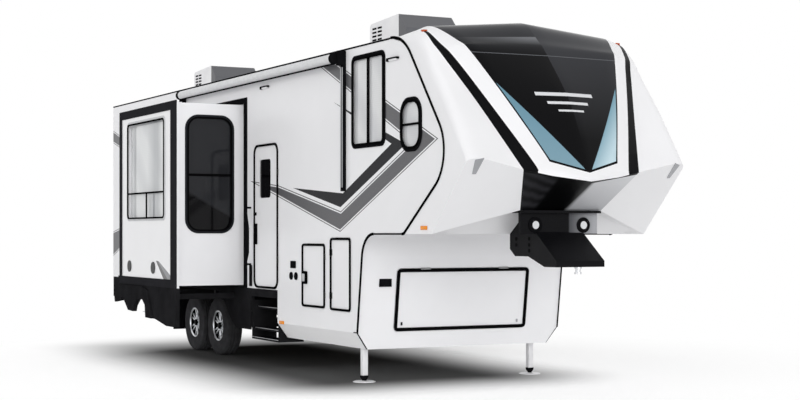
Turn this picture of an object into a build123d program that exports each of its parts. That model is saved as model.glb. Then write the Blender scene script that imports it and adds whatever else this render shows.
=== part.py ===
"""Fifth wheel travel trailer with two slide-out rooms, a raised nose and a rear ramp door.

Millimetres. +X points to the nose, +Y to the left side, +Z up, and the ground is Z = 0.
Stations along X are measured from the foot of the front seam, and every piece is moved by
ORIGIN_X when it is written, so that the origin lies at the centre of the trailer's length.
"""
from build123d import *
import math
import os

# Driving dimensions of the body
HALF = 1282.5              # half the body width
WALL = 50.0                # side wall, floor deck and door thickness
REAR_X = -8900.0           # outside of the rear wall
FLOOR_TOP = 950.0          # main floor, also the lower edge of the rear walls
FLOOR_THICK = 60.0
ROOF_EDGE = 3660.0         # top of the roof at the side walls
ROOF_CROWN = 85.0          # rise of the roof from its edge to its middle
ROOF_THICK = 60.0
ROOF_FRONT = 820.0         # where the roof meets the nose cap
DOOR_GAP = 6.0             # running gap round every door leaf

# Basement, the storage space under the raised front floor
BASE_REAR = -2180.0
BASE_LOW = 375.0
BASE_SIDE_LOW = 556.0      # lower edge of the flat part of the side wall
BASE_CHAMFER = 133.0       # how far the lower side edge tapers inboard
FACE_FOOT = 27.0           # front face at the height BASE_SIDE_LOW
FACE_LEAN = 0.1358         # forward lean of the front face, per unit of height
FACE_THICK = 60.0
OVERHANG = 1630.0          # underside of the raised front floor
FACE_BEND = 276.0          # radius between the front face and the underside
DECK_THICK = 50.0
RISER_X = -1750.0          # step up from the main floor to the raised floor

# Nose cap: one row per section from the roof to the lip, one column per edge line.
# Each edge point is (x, y, z) on the left side: middle, windscreen edge, stripe edge, cheek edge.
NOSE_ROWS = {
    "back":   ((820, 0, 3745), (820, 1065, 3686), (820, 1215, 3668), (820, HALF, 3660)),
    "ridge":  ((1300, 0, 3838), (1264, 1065, 3743), (1330, 1205, 3680), (1310, HALF, 3610)),
    "brow":   ((1620, 0, 3620), (1608, 939, 3568), (1569, 1181, 3508), (1559, HALF, 3456)),
    "crease": ((1800, 0, 3445), (1757, 868, 3436), (1710, 1105, 3322), (1690, HALF, 3309)),
    "mid":    ((2236, 0, 2900), (2122, 639, 2900), (2004, 929, 2900), (2052, HALF, 2900)),
    "sill":   ((2500, 0, 2400), (2468, 388, 2313), (2391, 704, 2310), (2379, HALF, 2450)),
    "lip":    ((2595, 0, 2150), (2505, 388, 2205), (2432, 680, 2247), (2433, HALF, 2376)),
}
NOSE_TIP = NOSE_ROWS["lip"][0][0]
CHEEK_LOW = (1695, HALF, OVERHANG)
LEDGE_Z = OVERHANG + 235
LEDGE_FRONT = (2050, 480, LEDGE_Z)
LEDGE_REAR = (1870, 470, LEDGE_Z)
THROAT = (1540, 470, OVERHANG)
CAP_WALL = 80.0            # nose cap thickness along X
SEAM_BEAD = 9.0            # half width of the black bead round the side wall's front edge
BEAD_THICK = 6.0

# Pin box and king pin
PIN_BOX_HALF = 284.0
PIN_BOX_LOW = OVERHANG - 325
PIN_BOX_FRONT = 2400.0
LEDGE_PLATE = 25.0
FASCIA_HALF = 460.0
FASCIA_X = 2020.0
KING_PIN_X = PIN_BOX_FRONT - 45
KING_PIN_R = 25.4          # waist that the coupling's jaws close round
KING_PIN_COLLAR_R = 36.5
KING_PIN_FOOT_R = 35.7
KING_PIN_STEPS = (15.0, 36.0, 19.0)   # heights of the collar, waist and foot
KING_PIN_PLATE = 215.0     # length of the level plate that carries the pin
PIN_HEEL = (1640.0, 1886.0)          # level part of the underside behind the plate
PIN_HEEL_RISE = 100.0
PIN_BACK_RISE = 171.0
DOCK_LIGHT_Y = 287.0
DOCK_LIGHT_Z = OVERHANG + 90

# Running gear
TYRE_R = 391.0
TYRE_WIDTH = 235.0
RIM_R = 203.0
WHEEL_Y = HALF - 230
AXLE_FRONT = -4550.0
AXLE_SPACING = 920.0
AXLES = {"front": AXLE_FRONT, "rear": AXLE_FRONT - AXLE_SPACING}
AXLE_TUBE_R = 38.0
SPINDLE_R = 25.0
HUB_BORE_R = 25.3
RAIL_Y = HALF - 422.5
RAIL_HEIGHT = 200.0
RAIL_WIDTH = 100.0
RAIL_PLATE = 10.0
BUMPER_HEIGHT = 110.0
BUMPER_DEEP = 100.0
CROSS_HEIGHT = 90.0        # cross members between the rails and the floor
RAIL_TOP = FLOOR_TOP - FLOOR_THICK - CROSS_HEIGHT
CROSS_MEMBERS = (REAR_X + 60, -8000.0, -7000.0, -6100.0, AXLE_FRONT + 100, -3100.0, BASE_REAR - 50)
CROSS_WIDE = 60.0
SPRING_HALF = 430.0
SPRING_LEAF = 30.0
SPRING_SEAT = 60.0         # half length of the flat part over the axle
HANGER_HALF = 45.0
HANGER_THICK = 72.0
SPRING_WIDE = 60.0

# Slide-out rooms, the same on both sides
ROOM_FRONT = -3277.0
ROOM_REAR = -5572.0
ROOM_LOW = 982.0
ROOM_TOP = 3270.0
ROOM_REACH = 915.0         # how far the outer face stands beyond the body wall
ROOM_WALL = 45.0
ROOM_GAP = 14.0
ROOM_TRIM = 10.0
TRIM_WIDE = {"rear": 44.0, "front": 103.0, "top": 76.0}
FASCIA_OVER = 30.0         # how far the fascia overlaps the room's shell
FASCIA_THICK = 40.0
FASCIA_PLATE = 10.0        # the dark part of the fascia's thickness
FASCIA_BORDER = {"rear": 102.0, "front": 223.0, "low": 103.0, "top": 110.0}
SPEAKERS = ((-5168.0, 1195.0), (-4167.0, 1191.0))
SPEAKER_R = 77.0

# Skirt of a room. Its lower edge is x from the axle above, z and corner radius, from rear to front
SKIRT_THICK = 30.0
SKIRT_REAR_END = ((-184, 1055, 0), (-258, 827, 20), (-375, 773, 15), (-352, 686, 15))
REAR_ARCH = ((28, 724, 0), (40, 772, 15), (141, 735, 40), (258, 657, 40), (325, 604, 0))
FRONT_ARCH = ((-371, 594, 15), (-328, 671, 30), (-194, 758, 40), (-87, 775, 40), (23, 766, 30),
              (127, 703, 30), (156, 538, 0))
SKIRT_LOW_EDGE = ((484, 532, 40), (927, 465, 40))
SKIRT_FRONT_LOW = 465.0
FLARE_PROUD = 25.0         # raised band round the arches, its upper edge given in the same way
FLARE_REAR = ((-185, 703, 0), (-185, 808, 40), (-91, 940, 40))
FLARE_FRONT = ((-21, 940, 60), (234, 894, 60), (318, 724, 40), (402, 569, 0), (402, 534, 0))
RETURN_THICK = 20.0        # end plate of the skirt at its front
RETURN_DEEP = 45.0
ARM_STATIONS = (-5250.0, -3650.0)
ARM_WIDE = 80.0
ARM_TALL = 70.0
ARM_INNER = RAIL_Y + 10      # inner end of an arm, on the chassis rail
ARM_BRACKET = 8.0          # plate that joins an arm to the room, outside the wall even when it is in
SEAT_GAP = 0.3             # clearance where a moving piece rests on its seat

# Doors of the right wall: x range, z range, corner radius
ENTRY_DOOR = {"x": (-2920.0, -2160.0), "z": (962.0, 2735.0), "radius": 110.0}
REAR_HATCH = {"x": (-1435.0, -805.0), "z": (790.0, 1515.0), "radius": 40.0}
FRONT_HATCH = {"x": (-655.0, -135.0), "z": (780.0, 1585.0), "radius": 40.0}
NOSE_HATCH_HALF = HALF - 438.5
NOSE_HATCH_Z = (566.0, 1249.0)
NOSE_HINGES = (-500.0, 500.0)
NOSE_HINGE_HALF = 60.0
RAMP_HALF = HALF - 162.5
RAMP_Z = (962.0, 3190.0)
RAMP_THICK = 55.0
RAMP_OUT = 30.0            # how far the ramp door stands behind the rear wall
HINGE_R = 9.0              # ramp hinge barrel
STRAP_R = 8.0              # door hinge barrels
STRAP_THICK = 4.0
STRAP_LONG = 45.0
STRAP_HALF = 35.0

# Windows: x range, z range, corner radius, and the x and z ranges of the bars between the panes
BED_WINDOW = {"x": (-85.0, 668.0), "z": (2580.0, 3530.0), "radius": 60.0,
              "bars": (((277.0, 293.0), (2570.0, 3540.0)),)}
NOSE_WINDOW = {"x": (1060.0, 1472.0), "z": (2490.0, 2985.0), "radius": 150.0,
               "bars": (((1050.0, 1482.0), (2732.0, 2748.0)),)}
ROOM_WINDOW = {"x": (-5240.0, -3710.0), "z": (1830.0, 3110.0), "radius": 60.0,
               "bars": (((-5250.0, -3700.0), (2162.0, 2178.0)), ((-4443.0, -4427.0), (1820.0, 2170.0)))}
END_WINDOW = {"y": (1445.0, 2043.0), "z": (1665.0, 3100.0), "radius": 150.0}
END_BAR = ((1435.0, 2053.0), (2364.0, 2380.0))
FRAME_WIDE = 28.0
FRAME_PROUD = 8.0
GLASS = 8.0
GLASS_IN = 24.0            # how far the glass lies behind the wall's face

DOOR_WINDOW = {"x": (-2765.0, -2400.0), "z": (2075.0, 2550.0), "radius": 45.0}

# Fittings
AWNING_X = (-5450.0, -318.0)
AWNING_Z = 3560.0
AWNING_R = 55.0
AWNING_STAND = 40.0        # how far the arms stand out from the wall
AWNING_FEET = {"rear": 3420.0, "front": 2100.0}
ARM_SIZE = 60.0            # width of an awning arm
ARM_HEAD = 80.0            # half height of an arm's head round the roller
LEG_X = -228.0
LEG_Y = HALF - 207.5
LEG_HALF = 40.0
LEG_ROD_R = 30.0
LEG_FOOT_R = 125.0
JACK_X = -8300.0
JACK_FOOT = 400.0          # the rear jacks are drawn up
BODY_SKIRT_LOW = 425.0
BODY_SKIRT_REAR_LOW = 640.0
BODY_SKIRT_BAND = 880.0    # lower edge of the band over the wheels
BODY_SKIRT_THICK = 20.0
BODY_SKIRT_FRONT = -3060.0
WELL_FRONT = ((350, 880, 60), (584, 742, 0), (841, 514, 60), (1004, 425, 0))   # x from the front axle
WELL_REAR = AXLES["rear"] - 350
STEP_SPAN = (BODY_SKIRT_FRONT + 10, BASE_REAR - 10)
STEP_PLATE = 15.0
STEP_LOW = 315.0
STEP_DEEP = 200.0
STEPS = ((340.0, 20.0), (456.0, 60.0), (720.0, 100.0))   # top of each tread and its set-back
SILL_LOW = 850.0
HANDLE_X = -3040.0
HANDLE_OUT = 70.0
HANDLE_BOW = ((0, 1960), (83, 1700), (83, 1400), (0, 1250))   # x from the brackets, z
HANDLE_R = 12.0
COOLER_REARS = (-7700.0, -1546.0)
COOLER_HALF = 350.0
COOLER_BASE = ROOF_EDGE + ROOF_CROWN - 30
# Air conditioner from the side: x from its rear, z from its base, corner radius
COOLER_SHAPE = ((0, 0, 0), (0, 425, 50), (745, 465, 25), (925, 282, 40), (925, 0, 0))
MARKER_SIZE = (35.0, 12.0, 12.0)     # half length, proud, half height
SIDE_MARKERS = ((BASE_REAR + 124, BASE_SIDE_LOW + 24), (1549.0, OVERHANG + 62))
NOSE_MARKER = (1300.0, NOSE_ROWS["ridge"][2][1] - 40, ROOF_EDGE + 30)
TAIL_LIGHT = ((RAMP_HALF + 30, HALF - WALL - 7.5), (1060.0, 1300.0))
TAIL_LIGHT_THICK = 15.0

SIDE = (Plane.XZ, Vector(0, 1, 0))
FRONT = (Plane.YZ, Vector(1, 0, 0))
LEFT_WALL = (HALF - WALL - 1, HALF + 1)
RIGHT_WALL = (-HALF - 1, -HALF + WALL + 1)
RAMP_BACK = REAR_X - RAMP_OUT
ORIGIN_X = -(NOSE_TIP + RAMP_BACK) / 2


def outline(corners):
    """Flat face from corners (u, v, radius); a radius of 0 keeps the corner sharp."""
    ends = []
    before = corners[-1:] + corners[:-1]
    after = corners[1:] + corners[:1]
    for last, corner, following in zip(before, corners, after):
        point = Vector(corner[0], corner[1])
        back = (Vector(last[0], last[1]) - point).normalized()
        on = (Vector(following[0], following[1]) - point).normalized()
        half_turn = math.radians(back.get_angle(on)) / 2
        reach = corner[2] / math.tan(half_turn)
        drop = corner[2] / math.sin(half_turn) - corner[2]
        ends.append((point + back * reach, point + (back + on).normalized() * drop, point + on * reach))
    edges = []
    for (start, middle, stop), (following, _, _) in zip(ends, ends[1:] + ends[:1]):
        if (stop - start).length > 0.01:
            edges.append(ThreePointArc(start, middle, stop))
        if (following - stop).length > 0.01:
            edges.append(Line(stop, following))
    return Face(Wire(edges))


def prism(view, corners, start, stop):
    """Outline drawn in a view plane and pushed along its axis from start to stop."""
    plane, along = view
    return Pos(*(along * start)) * Solid.extrude(plane.location * outline(corners), along * (stop - start))


def slab(x, y, z):
    """Box between two values on each axis."""
    size = [high - low for low, high in (x, y, z)]
    return Pos(x[0] + size[0] / 2, y[0] + size[1] / 2, z[0] + size[2] / 2) * Box(*size)


def panel(view, across, up, radius, start, stop):
    """Rectangular panel with rounded corners."""
    corners = [(across[0], up[0], radius), (across[1], up[0], radius),
               (across[1], up[1], radius), (across[0], up[1], radius)]
    return prism(view, corners, start, stop)


def grown(span, amount):
    """Range widened by amount at both ends."""
    return span[0] - amount, span[1] + amount


def rod(radius, start, stop):
    """Round bar between two points."""
    start = Vector(*start)
    along = Vector(*stop) - start
    return Plane(origin=start, z_dir=along).location * Cylinder(radius, along.length, align=(
        Align.CENTER, Align.CENTER, Align.MIN))


def left(shape):
    """Mirror image on the other side of the trailer."""
    return mirror(shape, about=Plane.XZ)


def both_sides(shape):
    return Compound(children=[shape, left(shape)])


def spans(window, amount=0.0):
    return grown(window["x"], amount), grown(window["z"], amount), window["radius"] + amount


def ring(view, across, up, radius, width, start, stop):
    """Rounded frame whose outside is the given rectangle."""
    outer = panel(view, across, up, radius, start, stop)
    inner_radius = max(radius - width, 1)
    inner = panel(view, grown(across, -width), grown(up, -width), inner_radius, start - 1, stop + 1)
    return outer - inner


def wall_profile():
    """Side wall outline in X and Z, with the nose curve and the leaning front edge."""
    lean_top = FACE_FOOT + (OVERHANG - BASE_SIDE_LOW) * FACE_LEAN
    return [(REAR_X, FLOOR_TOP, 0), (BASE_REAR, FLOOR_TOP, 0), (BASE_REAR, BASE_SIDE_LOW, 0),
            (FACE_FOOT, BASE_SIDE_LOW, 0), (lean_top, OVERHANG, FACE_BEND), (1105, OVERHANG, 100),
            (2134, 2364, 420), (1095, ROOF_EDGE, 560), (REAR_X, ROOF_EDGE, 0)]


def room_opening():
    """Opening of a slide-out room in the body wall."""
    return (ROOM_REAR - ROOM_GAP, ROOM_FRONT + ROOM_GAP), (ROOM_LOW - ROOM_GAP, ROOM_TOP + ROOM_GAP)


def wall_windows():
    return [BED_WINDOW, NOSE_WINDOW]


def side_wall():
    """Left side wall with its windows and the opening of the slide-out room."""
    wall = prism(SIDE, wall_profile(), HALF - WALL, HALF)
    wall -= slab((REAR_X - 1, ROOF_FRONT), (0, HALF + 1), (ROOF_EDGE - ROOF_THICK, ROOF_EDGE + 1))
    across, up = room_opening()
    wall -= slab(across, (0, HALF + 1), up)
    for window in wall_windows():
        wall -= panel(SIDE, *spans(window), HALF - WALL - 1, HALF + 1)
    return wall


def right_wall():
    """Right side wall, which also has the entry door and two baggage doors."""
    wall = left(side_wall())
    for door in (ENTRY_DOOR, REAR_HATCH, FRONT_HATCH):
        wall -= panel(SIDE, *spans(door, DOOR_GAP), -HALF - 1, -HALF + WALL + 1)
    return wall


def roof():
    """Crowned roof panel."""
    low = ROOF_EDGE - ROOF_THICK
    arc = ThreePointArc((-HALF, ROOF_EDGE), (0, ROOF_EDGE + ROOF_CROWN), (HALF, ROOF_EDGE))
    sides = Polyline((HALF, ROOF_EDGE), (HALF, low), (-HALF, low), (-HALF, ROOF_EDGE))
    face = Plane.YZ.location * Face(Wire([arc, *sides.edges()]))
    return Pos(REAR_X, 0, 0) * Solid.extrude(face, Vector(ROOF_FRONT - REAR_X, 0, 0))


def rear_wall():
    """Rear wall round the ramp door."""
    inner = HALF - WALL
    wall = slab((REAR_X, REAR_X + WALL), (-inner, inner), (FLOOR_TOP, ROOF_EDGE - ROOF_THICK))
    gap = RAMP_HALF + DOOR_GAP
    return wall - slab((REAR_X - 1, REAR_X + WALL + 1), (-gap, gap), (FLOOR_TOP - 1, RAMP_Z[1] + DOOR_GAP))


def mirrored(point):
    return point[0], -point[1], point[2]


def polyhedron(loops):
    """Closed solid from flat loops of points."""
    solid = Solid(Shell([Face(Wire.make_polygon(loop)) for loop in loops]))
    return solid if solid.volume > 0 else -solid


def strips(rows):
    """Triangles between neighbouring rows and columns of points."""
    loops = []
    for upper, lower in zip(rows, rows[1:]):
        for col in range(len(upper) - 1):
            loops.append([upper[col], upper[col + 1], lower[col + 1]])
            loops.append([upper[col], lower[col + 1], lower[col]])
    return loops


def nose_solid():
    """Outside of the nose as one faceted block."""
    rows = list(NOSE_ROWS.values())
    lip = rows[-1]
    half = strips(rows)
    half += [[lip[0], lip[1], LEDGE_FRONT], [lip[1], lip[2], LEDGE_FRONT], [lip[2], lip[3], CHEEK_LOW],
             [lip[2], CHEEK_LOW, LEDGE_FRONT], [LEDGE_FRONT, CHEEK_LOW, LEDGE_REAR],
             [LEDGE_REAR, CHEEK_LOW, THROAT]]
    foot = (ROOF_FRONT, HALF, OVERHANG)
    half.append([row[3] for row in rows] + [CHEEK_LOW, foot])
    other = [[mirrored(point) for point in loop] for loop in half]
    middle = [
        [lip[0], LEDGE_FRONT, mirrored(LEDGE_FRONT)],
        [LEDGE_FRONT, LEDGE_REAR, mirrored(LEDGE_REAR), mirrored(LEDGE_FRONT)],
        [LEDGE_REAR, THROAT, mirrored(THROAT), mirrored(LEDGE_REAR)],
        [THROAT, CHEEK_LOW, foot, mirrored(foot), mirrored(CHEEK_LOW), mirrored(THROAT)],
        [*rows[0], foot, mirrored(foot), *[mirrored(point) for point in reversed(rows[0][1:])]],
    ]
    return polyhedron(half + other + middle)


def nose_cap():
    """Hollow nose cap in front of the side walls' curved edges."""
    block = nose_solid()
    inner = HALF - WALL
    room = slab((0, NOSE_TIP), (-inner, inner), (OVERHANG + FACE_THICK, ROOF_EDGE - ROOF_THICK))
    cap = block - ((Pos(-CAP_WALL, 0, 0) * block) & room)
    for low, high in ((inner, HALF + 1), (-HALF - 1, -inner)):
        cap -= prism(SIDE, wall_profile(), low, high)
    for side in (LEFT_WALL, RIGHT_WALL):
        cap -= panel(SIDE, *spans(NOSE_WINDOW), *side)
    return cap


def windscreen():
    """Dark panel on the front of the nose, between its two windscreen edges."""
    lift = Vector(7, 0, 5)
    inner = [[Vector(*point) for point in NOSE_ROWS[name][:2]]
             for name in ("ridge", "brow", "crease", "mid", "sill")]
    outer = [[point + lift for point in row] for row in inner]
    half = strips(inner) + strips(outer)
    rims = []
    for rows in (inner, outer):
        rims.append([rows[0][0], *[row[1] for row in rows], rows[-1][0]])
    for k in range(len(rims[0]) - 1):
        half.append([rims[0][k], rims[0][k + 1], rims[1][k + 1]])
        half.append([rims[0][k], rims[1][k + 1], rims[1][k]])
    other = [[Vector(point.X, -point.Y, point.Z) for point in loop] for loop in half]
    return polyhedron(half + other)


def face_x(height):
    """Front face of the basement at a height."""
    return FACE_FOOT + (height - BASE_SIDE_LOW) * FACE_LEAN


def lower_cap():
    """Leaning front face of the basement, turning forward under the raised floor."""
    back = FACE_THICK * math.hypot(1, FACE_LEAN)
    top = OVERHANG + FACE_THICK
    shell = prism(SIDE, [(face_x(BASE_LOW), BASE_LOW, 0), (face_x(OVERHANG), OVERHANG, FACE_BEND),
                         (ROOF_FRONT, OVERHANG, 0), (ROOF_FRONT, top, 0),
                         (face_x(top) - back, top, FACE_BEND + FACE_THICK),
                         (face_x(BASE_LOW) - back, BASE_LOW, 0)],
                  -HALF, HALF)
    bottom = HALF - BASE_CHAMFER
    shell &= prism(FRONT, [(-bottom, BASE_LOW, 0), (bottom, BASE_LOW, 0), (HALF, BASE_SIDE_LOW, 0),
                           (HALF, top, 0), (-HALF, top, 0), (-HALF, BASE_SIDE_LOW, 0)], -500, 1000)
    for low, high in ((HALF - WALL, HALF + 1), (-HALF - 1, -HALF + WALL)):
        shell -= slab((-500, 1000), (low, high), (BASE_SIDE_LOW, top + 1))
    across = grown((-NOSE_HATCH_HALF, NOSE_HATCH_HALF), DOOR_GAP)
    return shell - panel(FRONT, across, grown(NOSE_HATCH_Z, DOOR_GAP), 50, -500, 400)


def nose_hatch():
    """Storage hatch in the leaning front face, hinged along its top edge."""
    low, high = BASE_LOW, OVERHANG
    leaf = prism(SIDE, [(face_x(low), low, 0), (face_x(high), high, 0), (face_x(high) - WALL, high, 0),
                        (face_x(low) - WALL, low, 0)], -HALF, HALF)
    leaf &= panel(FRONT, (-NOSE_HATCH_HALF, NOSE_HATCH_HALF), NOSE_HATCH_Z, 44, -500, 400)
    lean = math.hypot(1, FACE_LEAN)
    seam = NOSE_HATCH_Z[1] + DOOR_GAP / 2
    pivot = (face_x(seam) + STRAP_R / lean, seam - STRAP_R * FACE_LEAN / lean)
    tail = seam - STRAP_LONG
    strap = [(face_x(seam), seam, 0), (face_x(tail), tail, 0),
             (face_x(tail) + STRAP_THICK, tail, 0), (face_x(seam) + STRAP_THICK, seam, 0)]
    for middle in NOSE_HINGES:
        low, high = middle - NOSE_HINGE_HALF, middle + NOSE_HINGE_HALF
        leaf += prism(SIDE, strap, low, high)
        leaf += rod(STRAP_R, (pivot[0], low, pivot[1]), (pivot[0], high, pivot[1]))
    return leaf


def basement():
    """Floor pan of the basement with tapered sides and its rear bulkhead."""
    bottom = HALF - BASE_CHAMFER
    inner = HALF - WALL
    lift = BASE_LOW + WALL
    hull = [(-HALF, BASE_SIDE_LOW, 0), (-bottom, BASE_LOW, 0),
            (bottom, BASE_LOW, 0), (HALF, BASE_SIDE_LOW, 0)]
    hollow = [(-inner, BASE_SIDE_LOW + 1, 0), (-bottom + 20, lift, 0), (bottom - 20, lift, 0),
              (inner, BASE_SIDE_LOW + 1, 0)]
    pan = prism(FRONT, hull, BASE_REAR, 100) - prism(FRONT, hollow, BASE_REAR + WALL, 101)
    back = FACE_THICK * math.hypot(1, FACE_LEAN)
    foot = FACE_FOOT - (BASE_SIDE_LOW - BASE_LOW) * FACE_LEAN - back
    side = FACE_FOOT - back
    pan &= prism(SIDE, [(BASE_REAR, BASE_LOW, 0), (foot, BASE_LOW, 0), (side, BASE_SIDE_LOW, 0),
                        (BASE_REAR, BASE_SIDE_LOW, 0)], -HALF, HALF)
    bulkhead = slab((BASE_REAR, BASE_REAR + WALL), (-inner, inner),
                    (BASE_SIDE_LOW, FLOOR_TOP - FLOOR_THICK))
    return pan + bulkhead


def deck():
    """Raised front floor and the riser up to it."""
    inner = HALF - WALL
    low = OVERHANG + FACE_THICK
    floor = slab((RISER_X, ROOF_FRONT), (-inner, inner), (low, low + DECK_THICK))
    return floor + slab((RISER_X, RISER_X + WALL), (-inner, inner), (FLOOR_TOP, low))


def main_floor():
    inner = HALF - WALL
    return slab((REAR_X, RISER_X + WALL), (-inner, inner), (FLOOR_TOP - FLOOR_THICK, FLOOR_TOP))


def seam_bead():
    """Black bead along the front edge of a side wall."""
    profile = outline(wall_profile())
    wide = offset(profile, SEAM_BEAD)
    narrow = offset(profile, -SEAM_BEAD)
    band = Plane.XZ.location * (wide - narrow)
    bead = Pos(0, HALF, 0) * extrude(band, amount=BEAD_THICK, dir=(0, 1, 0))
    return bead & slab((-60, 3000), (0, 2 * HALF), (BASE_SIDE_LOW, ROOF_EDGE - 30))


def framed(window, start):
    """Frame of a side window with its bars."""
    frame = ring(SIDE, *spans(window, FRAME_WIDE), FRAME_WIDE, start, start + FRAME_PROUD)
    for across, up in window["bars"]:
        frame += slab(across, (start, start + FRAME_PROUD), up)
    return frame


def room_face():
    """X and Z ranges of a room's outer face, which overlaps the opening."""
    return grown((ROOM_REAR, ROOM_FRONT), FASCIA_OVER), grown((ROOM_LOW, ROOM_TOP), FASCIA_OVER)


def room_parts():
    """Shell, fascia, skirt and windows of the left slide-out room, drawn fully out."""
    outer = HALF + ROOM_REACH
    wall_outer = outer - FASCIA_THICK
    skin_outer = outer - FASCIA_PLATE
    shell = slab((ROOM_REAR, ROOM_FRONT), (HALF - 100, wall_outer), (ROOM_LOW, ROOM_TOP))
    shell -= slab((ROOM_REAR + ROOM_WALL, ROOM_FRONT - ROOM_WALL), (0, wall_outer - ROOM_WALL),
                  (ROOM_LOW + ROOM_WALL, ROOM_TOP - ROOM_WALL))
    pane = spans(ROOM_WINDOW)
    end = (END_WINDOW["y"], END_WINDOW["z"], END_WINDOW["radius"])
    shell -= panel(SIDE, *pane, wall_outer - ROOM_WALL - 1, outer)
    shell -= panel(FRONT, *end, ROOM_FRONT - ROOM_WALL - 1, ROOM_FRONT + 1)
    face_x, face_z = room_face()
    skin = slab(face_x, (wall_outer, skin_outer), face_z)
    skin -= panel(SIDE, *pane, wall_outer - 1, outer + 1)
    shell += skin
    fascia = slab(face_x, (skin_outer, outer), face_z)
    fascia -= slab((face_x[0] + FASCIA_BORDER["rear"], face_x[1] - FASCIA_BORDER["front"]),
                   (skin_outer - 1, outer + 1),
                   (face_z[0] + FASCIA_BORDER["low"], face_z[1] - FASCIA_BORDER["top"]))
    end_ring = ring(FRONT, *[grown(span, FRAME_WIDE) for span in end[:2]], end[2] + FRAME_WIDE, FRAME_WIDE,
                    ROOM_FRONT, ROOM_FRONT + FRAME_PROUD)
    end_ring += slab((ROOM_FRONT, ROOM_FRONT + FRAME_PROUD), *END_BAR)
    frames = Compound(children=[framed(ROOM_WINDOW, skin_outer), end_ring])
    glass = Compound(children=[
        panel(SIDE, *pane, wall_outer - GLASS_IN, wall_outer - GLASS_IN + GLASS),
        panel(FRONT, *end, ROOM_FRONT - GLASS_IN, ROOM_FRONT - GLASS_IN + GLASS)])
    return {"slide_room": shell, "slide_fascia": fascia, "slide_skirt": room_skirt(),
            "slide_window_frames": frames, "slide_windows": glass}


def shifted(corners, x):
    """Corners (x, z, radius) moved along X."""
    return [(corner[0] + x, *corner[1:]) for corner in corners]


def arch_line():
    """Lower edge of a room's skirt round both wheels, from rear to front."""
    return shifted(REAR_ARCH, AXLES["rear"]) + shifted(FRONT_ARCH, AXLES["front"])


def room_skirt():
    """Skirt under a room, with the raised band round its arches and the arms that carry the room."""
    outer = HALF + ROOM_REACH
    inner = outer - SKIRT_THICK
    wall_outer = outer - FASCIA_THICK
    face_x, face_z = room_face()
    edge = shifted(SKIRT_REAR_END, AXLES["rear"]) + arch_line() + shifted(SKIRT_LOW_EDGE, AXLES["front"])
    corners = [(face_x[1], face_z[0], 0), (face_x[0], face_z[0], 0), (face_x[0], SKIRT_REAR_END[0][1], 0),
               *edge, (face_x[1], SKIRT_FRONT_LOW, 0)]
    skirt = prism(SIDE, corners, inner, outer)
    flare = shifted(FLARE_REAR, AXLES["rear"]) + shifted(FLARE_FRONT, AXLES["front"])
    skirt += prism(SIDE, flare + arch_line()[::-1], outer, outer + FLARE_PROUD)
    skirt += slab((face_x[1] - RETURN_THICK, face_x[1]), (outer - RETURN_DEEP, outer),
                  (SKIRT_FRONT_LOW, face_z[0]))
    for x in ARM_STATIONS:
        across = grown((x, x), ARM_WIDE / 2)
        skirt += slab(across, (ARM_INNER, inner), (RAIL_TOP + SEAT_GAP, RAIL_TOP + ARM_TALL))
        skirt += slab(across, (wall_outer - ARM_BRACKET, wall_outer), (RAIL_TOP + ARM_TALL, ROOM_LOW))
    return skirt


def speakers():
    """Round speakers low on the outer face of the right room."""
    outer = HALF + ROOM_REACH
    discs = [rod(SPEAKER_R, (x, FASCIA_PLATE - outer, z), (x, -outer, z)) for x, z in SPEAKERS]
    return Compound(children=discs)


def opening_trim():
    """Black trim round a slide-out room's opening in the body wall."""
    across, up = room_opening()
    outer_x = (across[0] - TRIM_WIDE["rear"], across[1] + TRIM_WIDE["front"])
    outer_z = (FLOOR_TOP, up[1] + TRIM_WIDE["top"])
    trim = slab(outer_x, (HALF, HALF + ROOM_TRIM), outer_z)
    return trim - slab(across, (HALF - 1, HALF + ROOM_TRIM + 1), up)


def door_leaf(door, hinge_edge):
    """Door leaf with two strap hinges on its front (1) or rear (0) edge."""
    leaf = panel(SIDE, *spans(door), -HALF, -HALF + WALL - 5)
    edge = door["x"][hinge_edge]
    inward = -1 if hinge_edge else 1
    pivot = edge - inward * DOOR_GAP / 2
    low, high = door["z"]
    for share in (0.2, 0.8):
        z = low + (high - low) * share
        along = sorted((pivot, edge + inward * STRAP_LONG))
        leaf += slab(along, (-HALF - STRAP_THICK, -HALF), (z - STRAP_HALF, z + STRAP_HALF))
        barrel = -HALF - STRAP_R
        leaf += rod(STRAP_R, (pivot, barrel, z - STRAP_HALF), (pivot, barrel, z + STRAP_HALF))
    return leaf


def entry_door():
    """Entry door with its window cut."""
    return door_leaf(ENTRY_DOOR, 1) - panel(SIDE, *spans(DOOR_WINDOW), *RIGHT_WALL)


def ramp_door():
    """Ramp door with a hinge barrel along its lower edge."""
    leaf = slab((RAMP_BACK, RAMP_BACK + RAMP_THICK), (-RAMP_HALF, RAMP_HALF), RAMP_Z)
    middle = RAMP_Z[0] - HINGE_R
    leaf += slab((REAR_X - 2 * HINGE_R, REAR_X), (-RAMP_HALF, RAMP_HALF), (middle, RAMP_Z[0] + HINGE_R))
    pivot = REAR_X - HINGE_R
    return leaf + rod(HINGE_R, (pivot, -RAMP_HALF, middle), (pivot, RAMP_HALF, middle))


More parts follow.
